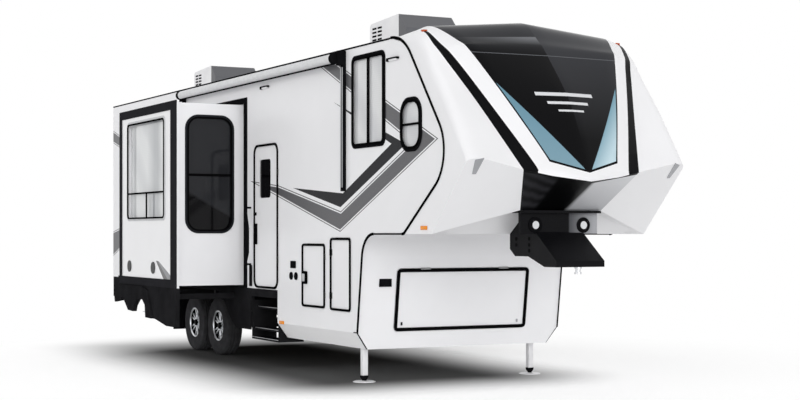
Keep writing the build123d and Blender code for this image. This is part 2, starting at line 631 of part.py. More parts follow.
def chassis():
    """Two rails with cross members and a rear bumper."""
    rails = []
    rear = REAR_X + RAIL_PLATE
    for y in (-RAIL_Y, RAIL_Y):
        web = slab((rear, BASE_REAR), (y - 6, y + 6), (RAIL_TOP - RAIL_HEIGHT, RAIL_TOP))
        for low in (RAIL_TOP - RAIL_HEIGHT, RAIL_TOP - RAIL_PLATE):
            web += slab((rear, BASE_REAR), grown((y, y), RAIL_WIDTH / 2), (low, low + RAIL_PLATE))
        rails.append(web)
    frame = rails[0] + rails[1]
    for x in CROSS_MEMBERS:
        frame += slab(grown((x, x), CROSS_WIDE / 2), (-HALF + WALL, HALF - WALL),
                      (RAIL_TOP, RAIL_TOP + CROSS_HEIGHT))
    bumper_low = RAIL_TOP - RAIL_HEIGHT + 20
    bumper_half = HALF - 132.5
    return frame + slab((rear, rear + BUMPER_DEEP), (-bumper_half, bumper_half),
                        (bumper_low, bumper_low + BUMPER_HEIGHT))


def springs():
    """Leaf springs and their hangers under each rail."""
    rail_low = RAIL_TOP - RAIL_HEIGHT
    seat = TYRE_R + AXLE_TUBE_R + SEAT_GAP
    leaf = [(-SPRING_HALF, rail_low - SPRING_LEAF, 0), (-SPRING_HALF, rail_low - 2 * SPRING_LEAF, 0),
            (-SPRING_SEAT, seat, 0), (SPRING_SEAT, seat, 0),
            (SPRING_HALF, rail_low - 2 * SPRING_LEAF, 0), (SPRING_HALF, rail_low - SPRING_LEAF, 0),
            (SPRING_SEAT, seat + SPRING_LEAF, 0), (-SPRING_SEAT, seat + SPRING_LEAF, 0)]
    front, rear = AXLES["front"], AXLES["rear"]
    sides = []
    for y in (-RAIL_Y, RAIL_Y):
        across = grown((y, y), SPRING_WIDE / 2)
        side = prism(SIDE, shifted(leaf, front), *across)
        side += prism(SIDE, shifted(leaf, rear), *across)
        for x in (front + SPRING_HALF, (front + rear) / 2, rear - SPRING_HALF):
            side += slab(grown((x, x), HANGER_HALF), grown((y, y), HANGER_THICK / 2),
                         (rail_low - 2.5 * SPRING_LEAF, rail_low))
        sides.append(side)
    return Compound(children=sides)


def axle(x):
    tube_half = RAIL_Y + 40
    spindle_half = WHEEL_Y + 70
    tube = rod(AXLE_TUBE_R, (x, -tube_half, TYRE_R), (x, tube_half, TYRE_R))
    return tube + rod(SPINDLE_R, (x, -spindle_half, TYRE_R), (x, spindle_half, TYRE_R))


def turned(profile, x, y):
    """Solid of revolution about a wheel's axle; the profile is (radius, offset along Y)."""
    points = [Vector(radius, along, 0) for radius, along in profile]
    face = Face(Wire.make_polygon(points))
    solid = Solid.revolve(face, 360, Axis((0, 0, 0), (0, 1, 0)))
    return Pos(x, y, TYRE_R) * solid


def tyre(x, side):
    half = TYRE_WIDTH / 2
    bead = RIM_R + 0.5
    profile = [(bead, -half + 22), (bead + 30, -half + 3), (TYRE_R - 90, -half), (TYRE_R - 35, -half + 5),
               (TYRE_R - 8, -half + 24), (TYRE_R, -half + 55), (TYRE_R, half - 55), (TYRE_R - 8, half - 24),
               (TYRE_R - 35, half - 5), (TYRE_R - 90, half), (bead + 30, half - 3), (bead, half - 22)]
    return turned(profile, x, side * WHEEL_Y)


def rim(x, side):
    """Alloy wheel: barrel, spoked disc and hub."""
    width = TYRE_WIDTH / 2 - 22
    barrel = turned([(RIM_R - 14, -width), (RIM_R, -width), (RIM_R, width), (RIM_R - 14, width)], 0, 0)
    disc = turned([(70, 30), (RIM_R - 13, 48), (RIM_R - 13, 72), (70, 58)], 0, 0)
    window = Pos(138, 50, TYRE_R) * Rot(90, 0, 0) * Cylinder(34, 120)
    for k in range(8):
        disc -= Pos(0, 0, TYRE_R) * Rot(0, 45 * k, 0) * Pos(0, 0, -TYRE_R) * window
    hub = turned([(HUB_BORE_R, -60), (75, -60), (75, 66), (48, 96), (HUB_BORE_R, 96)], 0, 0)
    wheel = barrel + disc + hub
    if side < 0:
        wheel = left(wheel)
    return Pos(x, side * WHEEL_Y, 0) * wheel


def pin_box():
    """Pin box under the nose, with the fascia that holds the docking lights."""
    ledge = LEDGE_Z - LEDGE_PLATE
    slope = (LEDGE_Z - OVERHANG) / (LEDGE_REAR[0] - THROAT[0])
    shoulder = THROAT[0] + (ledge - OVERHANG) / slope
    heel = PIN_BOX_LOW + PIN_HEEL_RISE
    body = prism(SIDE, [(THROAT[0], PIN_BOX_LOW + PIN_BACK_RISE, 0), (THROAT[0], OVERHANG, 0),
                        (shoulder, ledge, 0),
                        (FASCIA_X, ledge, 0), (FASCIA_X, OVERHANG + 20, 0),
                        (PIN_BOX_FRONT, PIN_BOX_LOW + 60, 0), (PIN_BOX_FRONT, PIN_BOX_LOW, 0),
                        (PIN_BOX_FRONT - KING_PIN_PLATE, PIN_BOX_LOW, 0),
                        (PIN_HEEL[1], heel, 0), (PIN_HEEL[0], heel, 0)],
                 -PIN_BOX_HALF, PIN_BOX_HALF)
    body += slab((FASCIA_X - 35, FASCIA_X), (-FASCIA_HALF, FASCIA_HALF), (OVERHANG, ledge))
    return body + slab((LEDGE_REAR[0], LEDGE_FRONT[0] + 40), (-FASCIA_HALF, FASCIA_HALF), (ledge, LEDGE_Z))


def king_pin():
    """King pin below the pin box: collar, waist and foot."""
    pin = None
    top = PIN_BOX_LOW
    for radius, height in zip((KING_PIN_COLLAR_R, KING_PIN_R, KING_PIN_FOOT_R), KING_PIN_STEPS):
        step = rod(radius, (KING_PIN_X, 0, top), (KING_PIN_X, 0, top - height))
        pin = step if pin is None else pin + step
        top -= height
    return pin


def landing_leg(x, y, foot, top):
    """Square leg with a round inner leg and a foot plate."""
    leg = slab(grown((x, x), LEG_HALF), grown((y, y), LEG_HALF), (foot + 70, top))
    leg += rod(LEG_ROD_R, (x, y, foot + 10), (x, y, foot + 75))
    return leg + rod(LEG_FOOT_R, (x, y, foot), (x, y, foot + 12))


def air_conditioner(rear):
    """Wedge housing that rises towards its sloped front."""
    shape = [(rear + x, COOLER_BASE + z, radius) for x, z, radius in COOLER_SHAPE]
    return prism(SIDE, shape, -COOLER_HALF, COOLER_HALF) - roof()


def awning_arm(x, foot):
    """Flat arm on the wall with a head at the end of the roller."""
    across = grown((x, x), ARM_SIZE / 2)
    head = AWNING_Z - ARM_HEAD
    post = slab(across, (-HALF - AWNING_STAND, -HALF), (foot, head + 1))
    return post + slab(across, (-HALF - AWNING_STAND - AWNING_R, -HALF), (head, AWNING_Z + ARM_HEAD))


def awning():
    """Roller between two arms on the right wall."""
    y = -HALF - AWNING_STAND - AWNING_R
    reach = ARM_SIZE / 2 + SEAT_GAP
    roller = rod(AWNING_R, (AWNING_X[0], y, AWNING_Z), (AWNING_X[1], y, AWNING_Z))
    arms = Compound(children=[awning_arm(AWNING_X[0] - reach, AWNING_FEET["rear"]),
                              awning_arm(AWNING_X[1] + reach, AWNING_FEET["front"])])
    return roller, arms


def body_skirt(front):
    """Dark skirt below the right side wall, cut away round the wheels and for the room's front arm."""
    rear = REAR_X + RAIL_PLATE
    skirt = prism(SIDE, [(front, FLOOR_TOP, 0), (rear, FLOOR_TOP, 0), (rear, BODY_SKIRT_REAR_LOW, 0),
                         (WELL_REAR, BODY_SKIRT_REAR_LOW, 0), (WELL_REAR, BODY_SKIRT_BAND, 0),
                         *shifted(WELL_FRONT, AXLES["front"]), (front, BODY_SKIRT_LOW, 0)],
                  -HALF, -HALF + BODY_SKIRT_THICK)
    arm = max(ARM_STATIONS)
    return skirt - slab(grown((arm, arm), ARM_WIDE / 2 + 8), (-HALF - 1, -HALF + BODY_SKIRT_THICK + 1),
                        (RAIL_TOP - 5, RAIL_TOP + ARM_TALL + 8))


def body_skirts():
    """Right skirt up to the entry steps and left skirt up to the basement."""
    return Compound(children=[body_skirt(BODY_SKIRT_FRONT), left(body_skirt(BASE_REAR))])


def entry_steps():
    """Stowed entry steps in their recess under the entry door, with the sill above them."""
    depth = (-HALF + STEPS[0][1], -RAIL_Y - RAIL_WIDTH / 2 - 22)
    sill = (-HALF, -HALF + WALL)
    steps = slab(STEP_SPAN, sill, (SILL_LOW, FLOOR_TOP))
    for start in (STEP_SPAN[0], STEP_SPAN[1] - STEP_PLATE):
        across = (start, start + STEP_PLATE)
        steps += slab(across, depth, (STEP_LOW, RAIL_TOP))
        steps += slab(across, sill, (RAIL_TOP - 30, SILL_LOW + 1))
    for top, back in STEPS:
        steps += slab(STEP_SPAN, (-HALF + back, -HALF + back + STEP_DEEP), (top - 25, top))
    return steps


def grab_handle():
    """Bowed grab handle on two brackets behind the entry door."""
    out = -HALF - HANDLE_OUT
    points = [(HANDLE_X + x, out, z) for x, z in HANDLE_BOW]
    bar = rod(HANDLE_R, points[0], points[1])
    for start, stop in zip(points[1:], points[2:]):
        bar += Pos(*start) * Sphere(HANDLE_R + 1)
        bar += rod(HANDLE_R, start, stop)
    for x, _, z in (points[0], points[-1]):
        bar += rod(HANDLE_R, (x, -HALF, z), (x, out, z)) + Pos(x, out, z) * Sphere(HANDLE_R + 1)
    return bar


def marker_lights():
    """Small side markers on both walls and two at the top of the nose."""
    long, proud, tall = MARKER_SIZE
    lights = [slab(grown((x, x), long), (HALF, HALF + proud), grown((z, z), tall)) for x, z in SIDE_MARKERS]
    x, y, z = NOSE_MARKER
    top = slab((x - long, x + long), (y - long, y + long), (z - 40, z + 25)) - nose_solid()
    lights.append(top)
    return Compound(children=lights + [left(light) for light in lights])


def save(name, shape):
    export_step(Pos(ORIGIN_X, 0, 0) * shape, "parts/" + name + ".step")


def window_frames():
    frames = [framed(window, HALF) for window in wall_windows()]
    return Compound(children=frames + [left(frame) for frame in frames])


def window_panes():
    inner = HALF - GLASS_IN
    panes = [panel(SIDE, *spans(window), inner, inner + GLASS) for window in wall_windows()]
    return Compound(children=panes + [left(pane) for pane in panes])


def main():
    os.makedirs("parts", exist_ok=True)
    save("chassis_frame", chassis())
    save("leaf_springs", springs())
    for name, x in AXLES.items():
        save(name + "_axle", axle(x))
        for side_name, side in (("left", 1), ("right", -1)):
            save(name + "_" + side_name + "_tyre", tyre(x, side))
            save(name + "_" + side_name + "_rim", rim(x, side))
    save("main_floor", main_floor())
    save("basement_pan", basement())
    save("raised_floor", deck())
    save("left_side_wall", side_wall())
    save("right_side_wall", right_wall())
    save("roof_panel", roof())
    save("rear_wall", rear_wall())
    save("nose_cap", nose_cap())
    save("windscreen_panel", windscreen())
    save("lower_front_cap", lower_cap())
    save("seam_beads", both_sides(seam_bead()))
    save("pin_box", pin_box())
    save("king_pin", king_pin())
    save("docking_lights", both_sides(rod(40, (FASCIA_X, DOCK_LIGHT_Y, DOCK_LIGHT_Z),
                                          (FASCIA_X + 15, DOCK_LIGHT_Y, DOCK_LIGHT_Z))))
    save("landing_legs", both_sides(landing_leg(LEG_X, LEG_Y, 0, BASE_LOW)))
    save("rear_jacks", both_sides(landing_leg(JACK_X, RAIL_Y, JACK_FOOT, RAIL_TOP - RAIL_HEIGHT)))
    save("window_frames", window_frames())
    save("window_panes", window_panes())
    save("air_conditioners", Compound(children=[air_conditioner(rear) for rear in COOLER_REARS]))
    roller, arms = awning()
    save("awning_roller", roller)
    save("awning_arms", arms)
    save("body_skirts", body_skirts())
    save("entry_steps", entry_steps())
    save("grab_handle", grab_handle())
    save("slide_opening_trims", both_sides(opening_trim()))
    for name, piece in room_parts().items():
        save("left_" + name, piece)
        save("right_" + name, left(piece))
    save("right_slide_speakers", speakers())
    save("marker_lights", marker_lights())
    save("tail_lights", both_sides(slab((REAR_X - TAIL_LIGHT_THICK, REAR_X), *TAIL_LIGHT)))
    save("entry_door", entry_door())
    save("entry_door_window", panel(SIDE, *spans(DOOR_WINDOW), -HALF + 16, -HALF + 16 + GLASS))
    save("rear_baggage_door", door_leaf(REAR_HATCH, 1))
    save("front_baggage_door", door_leaf(FRONT_HATCH, 0))
    save("front_hatch", nose_hatch())
    save("ramp_door", ramp_door())


main()
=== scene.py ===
import bpy
import bmesh
import math
from mathutils import Matrix, Vector


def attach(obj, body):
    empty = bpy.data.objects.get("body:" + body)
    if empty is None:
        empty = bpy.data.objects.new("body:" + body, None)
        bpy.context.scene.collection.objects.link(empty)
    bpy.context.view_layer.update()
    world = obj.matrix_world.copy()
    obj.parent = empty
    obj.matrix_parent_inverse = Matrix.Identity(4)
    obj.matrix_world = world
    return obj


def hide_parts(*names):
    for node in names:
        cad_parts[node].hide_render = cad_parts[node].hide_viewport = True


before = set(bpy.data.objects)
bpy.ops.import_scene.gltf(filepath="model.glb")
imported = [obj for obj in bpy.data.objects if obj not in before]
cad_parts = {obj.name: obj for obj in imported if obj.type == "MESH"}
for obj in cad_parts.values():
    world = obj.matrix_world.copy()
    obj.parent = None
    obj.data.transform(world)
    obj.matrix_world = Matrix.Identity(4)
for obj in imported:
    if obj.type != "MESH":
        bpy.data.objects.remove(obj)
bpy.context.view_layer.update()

# Stations along X were set out from the foot of the front seam; the frame's origin lies mid-length.
ORIGIN_X = 3.1675
HALF = 1.2825
ROOM_FACE = HALF + 0.915
ROOF_EDGE = 3.660
NECK_FLOOR = 1.630
# Foot of the basement's leaning front face as (station, height), and its lean per metre of height
FACE_FOOT = (0.027, 0.556)
FACE_LEAN = 0.1358
AXLES = (("front", -4.550), ("rear", -5.470))
AXLE_HEIGHT = 0.391
WHEEL_OUT = HALF - 0.230
LEG_AT = (-0.228, 1.075)
# Rear edges of the two roof units
COOLERS = (-7.700, -1.546)
# Station of the slide-out rooms from which the glass and its frame are dark
DARK_FROM = -3.400
STRIPE_EDGE = 0.011

# The photograph's camera
CAMERA_AT = (14.869 + ORIGIN_X, -8.498, 1.633)
CAMERA_YAW = 62.475
FOCAL = 1526.07 / 800 * 36
HORIZON_SHIFT = 33.71 / 800

# Light: strength of the world, and each sun's name, strength and turn
WORLD_LIGHT = 0.61
SUNS = (("key", 0.15, (58, 0, 30)), ("front", 1.85, (89, 0, 84)), ("side", 0.70, (88, 0, 8)))
# Shaded strip of the floor: its middle, its half size and how far its shade runs out
SHADE_MIDDLE = (-0.3, -0.50, 0)
SHADE_HALF = (3.1, 0.9, 9.0)
SHADE_RUN = 1.9
# The floor turns into plain white between these distances from a point
FLOOR_FADE_FROM = (1.2, 0, 0)
FLOOR_FADE = (3.8, 6.8)

# Nose, one row per station: middle (x, z), glass edge and stripe's outer edge (x, y, z), cheek corner and
# start of the flat side (x, z), and how far along from the glass to the outer edge the black stripe starts
NOSE_ROWS = (
    ((0.820, 3.745), (0.820, 1.065, 3.686), (0.820, 1.215, 3.668), (0.820, ROOF_EDGE), (0.820, 3.655), 0.78),
    ((1.300, 3.836), (1.264, 1.065, 3.742), (1.330, 1.205, 3.679), (1.310, 3.610), (1.280, 3.530), 0.78),
    ((1.620, 3.620), (1.608, 0.939, 3.568), (1.569, 1.181, 3.508), (1.559, 3.456), (1.490, 3.380), 0.72),
    ((1.800, 3.445), (1.757, 0.868, 3.436), (1.710, 1.105, 3.322), (1.690, 3.309), (1.600, 3.240), 0.66),
    ((2.236, 2.900), (2.122, 0.639, 2.900), (2.004, 0.929, 2.900), (2.052, 2.900), (1.940, 2.860), 0.62),
    ((2.560, 2.226), (2.458, 0.400, 2.330), (2.391, 0.704, 2.310), (2.379, 2.450), (2.260, 2.440), 0.52),
    ((2.588, 2.140), (2.500, 0.390, 2.190), (2.432, 0.680, 2.247), (2.433, 2.376), (2.349, 2.291), 0.50),
)
SILL_ROW = 5
# Underside of the nose, rows as above without the flat side
CHIN_ROWS = (
    ((2.050, 1.865), (2.050, 0.300, 1.865), (2.050, 0.480, 1.865), (1.695, NECK_FLOOR)),
    ((1.870, 1.865), (1.870, 0.300, 1.865), (1.870, 0.470, 1.865), (1.680, NECK_FLOOR)),
    ((1.540, NECK_FLOOR), (1.540, 0.300, NECK_FLOOR), (1.540, 0.470, NECK_FLOOR), (1.600, NECK_FLOOR)),
    ((0.820, NECK_FLOOR), (0.820, 0.300, NECK_FLOOR), (0.820, 0.470, NECK_FLOOR), (0.820, NECK_FLOOR)),
)
NECK_REAR = 1.073
# The side wall's front edge and the basement's front corner, as corners (x, z, radius)
SEAM_CORNERS = ((0.600, ROOF_EDGE, 0), (1.095, ROOF_EDGE, 0.560), (2.134, 2.364, 0.420),
                (1.105, NECK_FLOOR, 0.100), (1.000, NECK_FLOOR, 0))
BASE_CORNERS = ((1.250, NECK_FLOOR, 0), (0.1729, NECK_FLOOR, 0.276), (*FACE_FOOT, 0))

# Wall stripes: corners (x, z), and which of their edges meet another arm
GREY_ARMS = (
    (((-3.068, 2.298), (-2.162, 2.218), (-2.162, 2.079)), (1,)),
    (((-2.162, 2.218), (-0.395, 1.880), (-0.409, 1.653), (-2.162, 2.079)), (1, 3)),
    (((-0.395, 1.880), (1.270, 2.553), (1.830, 2.563), (-0.409, 1.653)), (1, 3)),
    (((1.270, 2.553), (1.830, 2.563), (-0.472, 3.515), (-0.936, 3.527)), (0, 2)),
)
DARK_ARMS = (
    (((-1.717, 2.174), (-0.402, 1.926), (-0.340, 2.078)), (1,)),
    (((-0.340, 2.078), (0.829, 2.564), (1.150, 2.545), (-0.402, 1.926)), (1, 3)),
    (((0.829, 2.564), (1.150, 2.545), (-0.577, 3.100)), (0,)),
)
REAR_ARMS = (
    (((-8.950, 3.295), (-6.350, 2.560), (-5.900, 2.300), (-8.950, 3.095)), ()),
    (((-8.950, 1.660), (-6.350, 2.060), (-5.900, 2.240), (-8.950, 1.260)), ()),
)
ROOM_STRIPES = (
    (((-4.060, 1.285), (-3.950, 1.280), (-3.470, 1.100), (-3.470, 1.055), (-3.720, 1.055)), "717276"),
    (((-4.060, 1.285), (-3.990, 1.283), (-3.600, 1.055), (-3.760, 1.055)), "2a2a2d"),
)

# Profiles of the wheels, as (radius, along the axle)
TYRE_CROWN = (
    (0.387, -0.062), (0.387, -0.046), (0.379, -0.044), (0.379, -0.036), (0.387, -0.034), (0.387, -0.006),
    (0.379, -0.004), (0.379, 0.004), (0.387, 0.006), (0.387, 0.034), (0.379, 0.036), (0.379, 0.044),
    (0.387, 0.046), (0.387, 0.062),
)
TYRE_WALL = (
    (0.380, 0.094), (0.362, 0.109), (0.340, 0.114), (0.335, 0.112), (0.300, 0.117), (0.255, 0.1165),
    (0.250, 0.114), (0.234, 0.1135), (0.214, 0.102), (0.204, 0.096),
)
RIM_BARREL = (
    (0.189, -0.094), (0.203, -0.094), (0.203, -0.086), (0.190, -0.070), (0.186, -0.020), (0.190, 0.070),
    (0.203, 0.086), (0.2035, 0.094), (0.196, 0.0955), (0.186, 0.084), (0.178, 0.062), (0.174, -0.020),
    (0.180, -0.070),
)
RIM_LIP = (
    (0.186, 0.0835), (0.1965, 0.0952), (0.2030, 0.0946), (0.2030, 0.0965), (0.1955, 0.0970), (0.184, 0.0845),
)
RIM_DISC = ((0, 0.008), (0.180, 0.004), (0.180, -0.004), (0, 0))
HUB = ((0, -0.055), (0.070, -0.055), (0.074, 0.050), (0.070, 0.062), (0.052, 0.064), (0, 0.064))
HUB_CAP = ((0, 0.060), (0.044, 0.060), (0.042, 0.086), (0.034, 0.094), (0, 0.095))


def at(x, y, z):
    """A station as a point of the frame."""
    return Vector((x + ORIGIN_X, y, z))


def linear(code, share=1.0):
    """Colour from its hex code, dimmed to a share."""
    values = [int(code[k:k + 2], 16) / 255 for k in (0, 2, 4)]
    return (*[share * (value / 12.92 if value <= 0.04045 else ((value + 0.055) / 1.055) ** 2.4)
              for value in values], 1)


def show(name, data):
    """New object in the scene."""
    obj = bpy.data.objects.new(name, data)
    bpy.context.scene.collection.objects.link(obj)
    return obj


# Materials

class Finish:
    """A Principled material with helpers for its pattern nodes."""

    def __init__(self, name, rough, metallic=0.0, coat=0.0, specular=0.5):
        self.mat = bpy.data.materials.new(name)
        self.mat.use_nodes = True
        self.tree = self.mat.node_tree
        self.shader = self.tree.nodes["Principled BSDF"]
        for socket, value in (("Metallic", metallic), ("Roughness", rough), ("Coat Weight", coat),
                              ("Specular IOR Level", specular)):
            self.shader.inputs[socket].default_value = value
        self.place = self.add("ShaderNodeTexCoord").outputs["Object"]

    def add(self, kind, **settings):
        node = self.tree.nodes.new(kind)
        for key, value in settings.items():
            setattr(node, key, value)
        return node

    def feed(self, value, socket):
        """Feeds a socket from an output, or sets it to a number or to the colour of a hex code."""
        if hasattr(value, "is_output"):
            self.tree.links.new(value, socket)
        else:
            socket.default_value = linear(value) if isinstance(value, str) else value

    def calc(self, operation, *values):
        node = self.add("ShaderNodeMath", operation=operation)
        for value, socket in zip(values, node.inputs):
            self.feed(value, socket)
        return node.outputs[0]

    def fold(self, operation, values):
        """Joins values one after another."""
        total = values[0]
        for value in values[1:]:
            total = self.calc(operation, total, value)
        return total

    def every(self, *masks):
        return self.fold("MULTIPLY", masks)

    def over(self, value, limit):
        return self.calc("GREATER_THAN", value, limit)

    def under(self, value, limit):
        return self.calc("LESS_THAN", value, limit)

    def line(self, value, slope, start):
        return self.calc("MULTIPLY_ADD", value, slope, start)

    def axis(self, name):
        node = self.add("ShaderNodeSeparateXYZ")
        self.feed(self.place, node.inputs[0])
        return node.outputs[name]

    def out(self):
        """Distance from the middle plane."""
        return self.calc("ABSOLUTE", self.axis("Y"))

    def past(self, station):
        """One in front of a station, zero behind it."""
        return self.over(self.axis("X"), station + ORIGIN_X)

    def texture(self, kind, sockets, place=None, **settings):
        node = self.add("ShaderNodeTex" + kind, **settings)
        self.feed(self.place if place is None else place, node.inputs["Vector"])
        for name, number in sockets.items():
            node.inputs[name].default_value = number
        return node.outputs

    def noise(self, scale, detail=3.0):
        return self.texture("Noise", {"Scale": scale, "Detail": detail})["Fac"]

    def bands(self, direction, scale, distortion=0.0):
        sockets = {"Scale": scale, "Distortion": distortion}
        return self.texture("Wave", sockets, bands_direction=direction)["Fac"]

    def between(self, value, low, high, to_low=0.0, to_high=1.0):
        node = self.add("ShaderNodeMapRange")
        self.feed(value, node.inputs[0])
        for socket, number in zip(node.inputs[1:5], (low, high, to_low, to_high)):
            socket.default_value = number
        return node.outputs[0]

    def mix(self, share, first, second):
        node = self.add("ShaderNodeMix", data_type="RGBA")
        self.feed(share, node.inputs[0])
        self.feed(first, node.inputs[6])
        self.feed(second, node.inputs[7])
        return node.outputs[2]

    def mottled(self, dark, light, scale=2.0, soft=0.15, detail=3.0):
        """Two colours in soft patches."""
        return self.mix(self.between(self.noise(scale, detail), 0.5 - soft, 0.5 + soft), dark, light)

    def colour(self, value):
        self.feed(value, self.shader.inputs["Base Color"])
        return self

    def bump(self, height, depth, strength=0.4):
        node = self.add("ShaderNodeBump")
        node.inputs["Strength"].default_value = strength
        node.inputs["Distance"].default_value = depth
        self.feed(height, node.inputs["Height"])
        self.feed(node.outputs[0], self.shader.inputs["Normal"])
        return self

    def orange_peel(self):
        return self.bump(self.noise(240.0, 2.0), 0.0002, 0.2)

    def edge(self, start, stop, inward):
        """Distance from the line start-stop in X and Z, positive on the side of the inward point."""
        along = Vector((stop[0] - start[0], stop[1] - start[1])).normalized()
        normal = Vector((-along.y, along.x))
        if normal.dot(Vector((inward[0] - start[0], inward[1] - start[1]))) < 0:
            normal = -normal
        dot = self.add("ShaderNodeVectorMath", operation="DOT_PRODUCT")
        self.feed(self.place, dot.inputs[0])
        dot.inputs[1].default_value = (normal.x, 0, normal.y)
        offset = normal.x * (start[0] + ORIGIN_X) + normal.y * start[1]
        return self.calc("SUBTRACT", dot.outputs["Value"], offset)

    def arms(self, table):
        """Distance inside a set of stripe arms that meet at their open edges."""
        insides = []
        for corners, meeting in table:
            inward = [sum(corner[k] for corner in corners) / len(corners) for k in (0, 1)]
            distances = [self.edge(corner, corners[(k + 1) % len(corners)], inward)
                         for k, corner in enumerate(corners)]
            for k in meeting:
                distances[k] = self.line(self.over(distances[k], -0.0005), 2, -1)
            insides.append(self.fold("MINIMUM", distances))
        return self.fold("MAXIMUM", insides)

    def skin(self, face):
        """One on the outer skin at |y| = face, zero further in."""
        return self.over(self.out(), face - 0.004)


def painted(name, code, rough=0.3, coat=0.3, specular=0.5, metallic=0.0, scale=4.0, depth=0.05, grain=0.0,
            grain_scale=300.0):
    """One colour with a slight soft mottling, and a fine grain if one is given."""
    made = Finish(name, rough, metallic, coat, specular)
    made.colour(made.mottled(linear(code, 1 - depth), code, scale))
    made.feed(made.between(made.noise(scale * 2.3), 0.3, 0.7, rough * 0.85, rough * 1.2),
              made.shader.inputs["Roughness"])
    if grain:
        made.bump(made.noise(grain_scale, 2.0), grain)
    return made.mat


def stripes(made, shade, skin, arms):
    """Lays banded stripes with a thin outline, a white gap and a woven grey middle over a colour."""
    inside = made.arms(arms)
    line = made.every(made.over(inside, 0.0), made.under(inside, STRIPE_EDGE), skin)
    shade = made.mix(line, shade, "4f4f52")
    fill = made.every(made.over(inside, STRIPE_EDGE * 2.3), skin)
    return made.mix(fill, shade, made.mottled("535356", "5d5d60", 60.0, 0.2, 4.0))


def wall_paint():
    """White gelcoat wall with the grey and charcoal stripes of the side, and black hinges."""
    made = Finish("side_wall_gelcoat", 0.32, specular=0.3)
    skin = made.skin(HALF)
    shade = made.mottled("f0f0f2", "f2f2f4")
    for arms in (GREY_ARMS, REAR_ARMS):
        shade = stripes(made, shade, skin, arms)
    dark = made.every(made.over(made.arms(DARK_ARMS), 0.0), skin)
    shade = made.mix(dark, shade, made.mix(made.noise(60.0), "3a3a3c", "454547"))
    made.feed(made.line(dark, -0.3, 0.3), made.shader.inputs["Specular IOR Level"])
    hinge = made.over(made.out(), HALF + 0.002)
    return made.colour(made.mix(hinge, shade, "0d0d0e")).orange_peel().mat


def room_paint():
    """White slide room with a slanting stripe low on its outer face."""
    made = Finish("room_gelcoat", 0.3, coat=0.3)
    shade = made.mottled("f1f1f3", "f3f3f5")
    skin = made.skin(ROOM_FACE - 0.012)
    for corners, code in ROOM_STRIPES:
        shade = made.mix(made.every(made.over(made.arms(((corners, ()),)), 0.0), skin), shade, code)
    return made.colour(shade).orange_peel().mat


def plain_white(name, hinge_height=None, codes=("f1f1f3", "f3f3f5")):
    """White gelcoat with a faint orange-peel grain, black above the hinge height if one is given."""
    made = Finish(name, 0.3, specular=0.4)
    shade = made.mottled(*codes)
    if hinge_height is not None:
        shade = made.mix(made.over(made.axis("Z"), hinge_height), shade, "0d0d0e")
    return made.colour(shade).orange_peel().mat


def windscreen_gloss():
    """Black gloss of the nose with painted reflections and highlights, blue-grey lower corners and a stack of
    silver bars.
    """
    made = Finish("nose_gloss_black", 0.12, specular=0.06)
    up, across, out = made.axis("Z"), made.axis("Y"), made.out()
    far = made.over(across, 0.0)
    # Painted reflections: the near half grows lighter towards the top, with a painted highlight band near the
    # brow; the far half grows lighter towards the top from lower down.
    near_painted_reflection = made.mix(made.between(up, 3.44, 3.72), "0b0b0d", "303135")
    painted_sheen = made.every(made.between(up, 3.560, 3.640), made.under(up, made.line(out, -0.06, ROOF_EDGE)),
                       made.between(out, 1.0, 0.15), 0.55)
    near_painted_reflection = made.mix(painted_sheen, near_painted_reflection, "8b8d92")
    far_painted_reflection = made.mix(made.between(up, 2.55, 3.60), "0d0d0f", "37383c")
    shade = made.mix(far, near_painted_reflection, far_painted_reflection)

    # Corner panels, outboard of a line that rises outward from the middle of the glass's foot, and inside
    # the glass's side edge and foot by a margin
    (foot_out, foot_up), (top_out, top_up) = (0.020, 2.235), (0.735, 3.150)
    (side_lean, side_margin), (sill_lean, sill_margin) = (0.4234, 0.022), (0.265, 0.026)
    lean = (top_out - foot_out) / (top_up - foot_up)
    corner = made.every(made.over(out, made.line(up, lean, foot_out - lean * foot_up)), made.under(up, top_up),
                        made.under(out, made.line(up, side_lean, 0.400 - side_lean * 2.328 - side_margin)),
                        made.over(up, made.line(out, sill_lean, 2.222 + sill_margin)))
    # Corner panels: the near one darker towards the top, the far one paler towards its foot and outer edge, a
    # painted reflection.
    near_blue = made.mix(made.between(up, 2.30, 2.95), "7fa0af", "6c93a5")
    painted_glare = made.between(made.line(out, -1.1, up), 2.02, 2.32, 1.0, 0.0)
    far_blue = made.mix(painted_glare, "78a1b2", "c6dde6")
    shade = made.mix(corner, shade, made.mix(far, near_blue, far_blue))

    def level(middle, thick):
        return made.under(made.calc("ABSOLUTE", made.calc("SUBTRACT", up, middle)), thick)

    # Painted highlight: a thin light line along the crease.
    shade = made.mix(level(3.441, 0.004), shade, "5d5f63")
    bars = [made.every(made.under(out, half), level(middle, thick))
            for middle, half, thick in ((3.02, 0.34, 0.018), (2.93, 0.24, 0.014), (2.85, 0.15, 0.010))]
    return made.colour(made.mix(made.fold("MAXIMUM", bars), shade, "dcdde0")).mat


def chin_paint():
    """Recess under the lip: painted shade, dark on the near side, and a painted sheen, pale where the far side
    catches the light.
    """
    made = Finish("chin_gloss", 0.3, specular=0.08)
    across, up = made.axis("Y"), made.axis("Z")
    # Painted shade: ribbed and dark on the near side, black in the middle.
    dark = made.mix(made.bands("X", 3.0), "141416", "29292c")
    dark = made.mix(made.between(across, -0.34, -0.30), dark, "050506")
    # Painted sheen on the far side, paler upwards.
    pale = made.mix(made.between(up, 1.85, 2.2), "b2b3b7", "dcdde0")
    shade = made.mix(made.between(across, 0.02, 0.08), dark, pale)
    lip = made.over(up, made.line(made.out(), 0.157, 2.120))
    return made.colour(made.mix(lip, shade, "080809")).mat


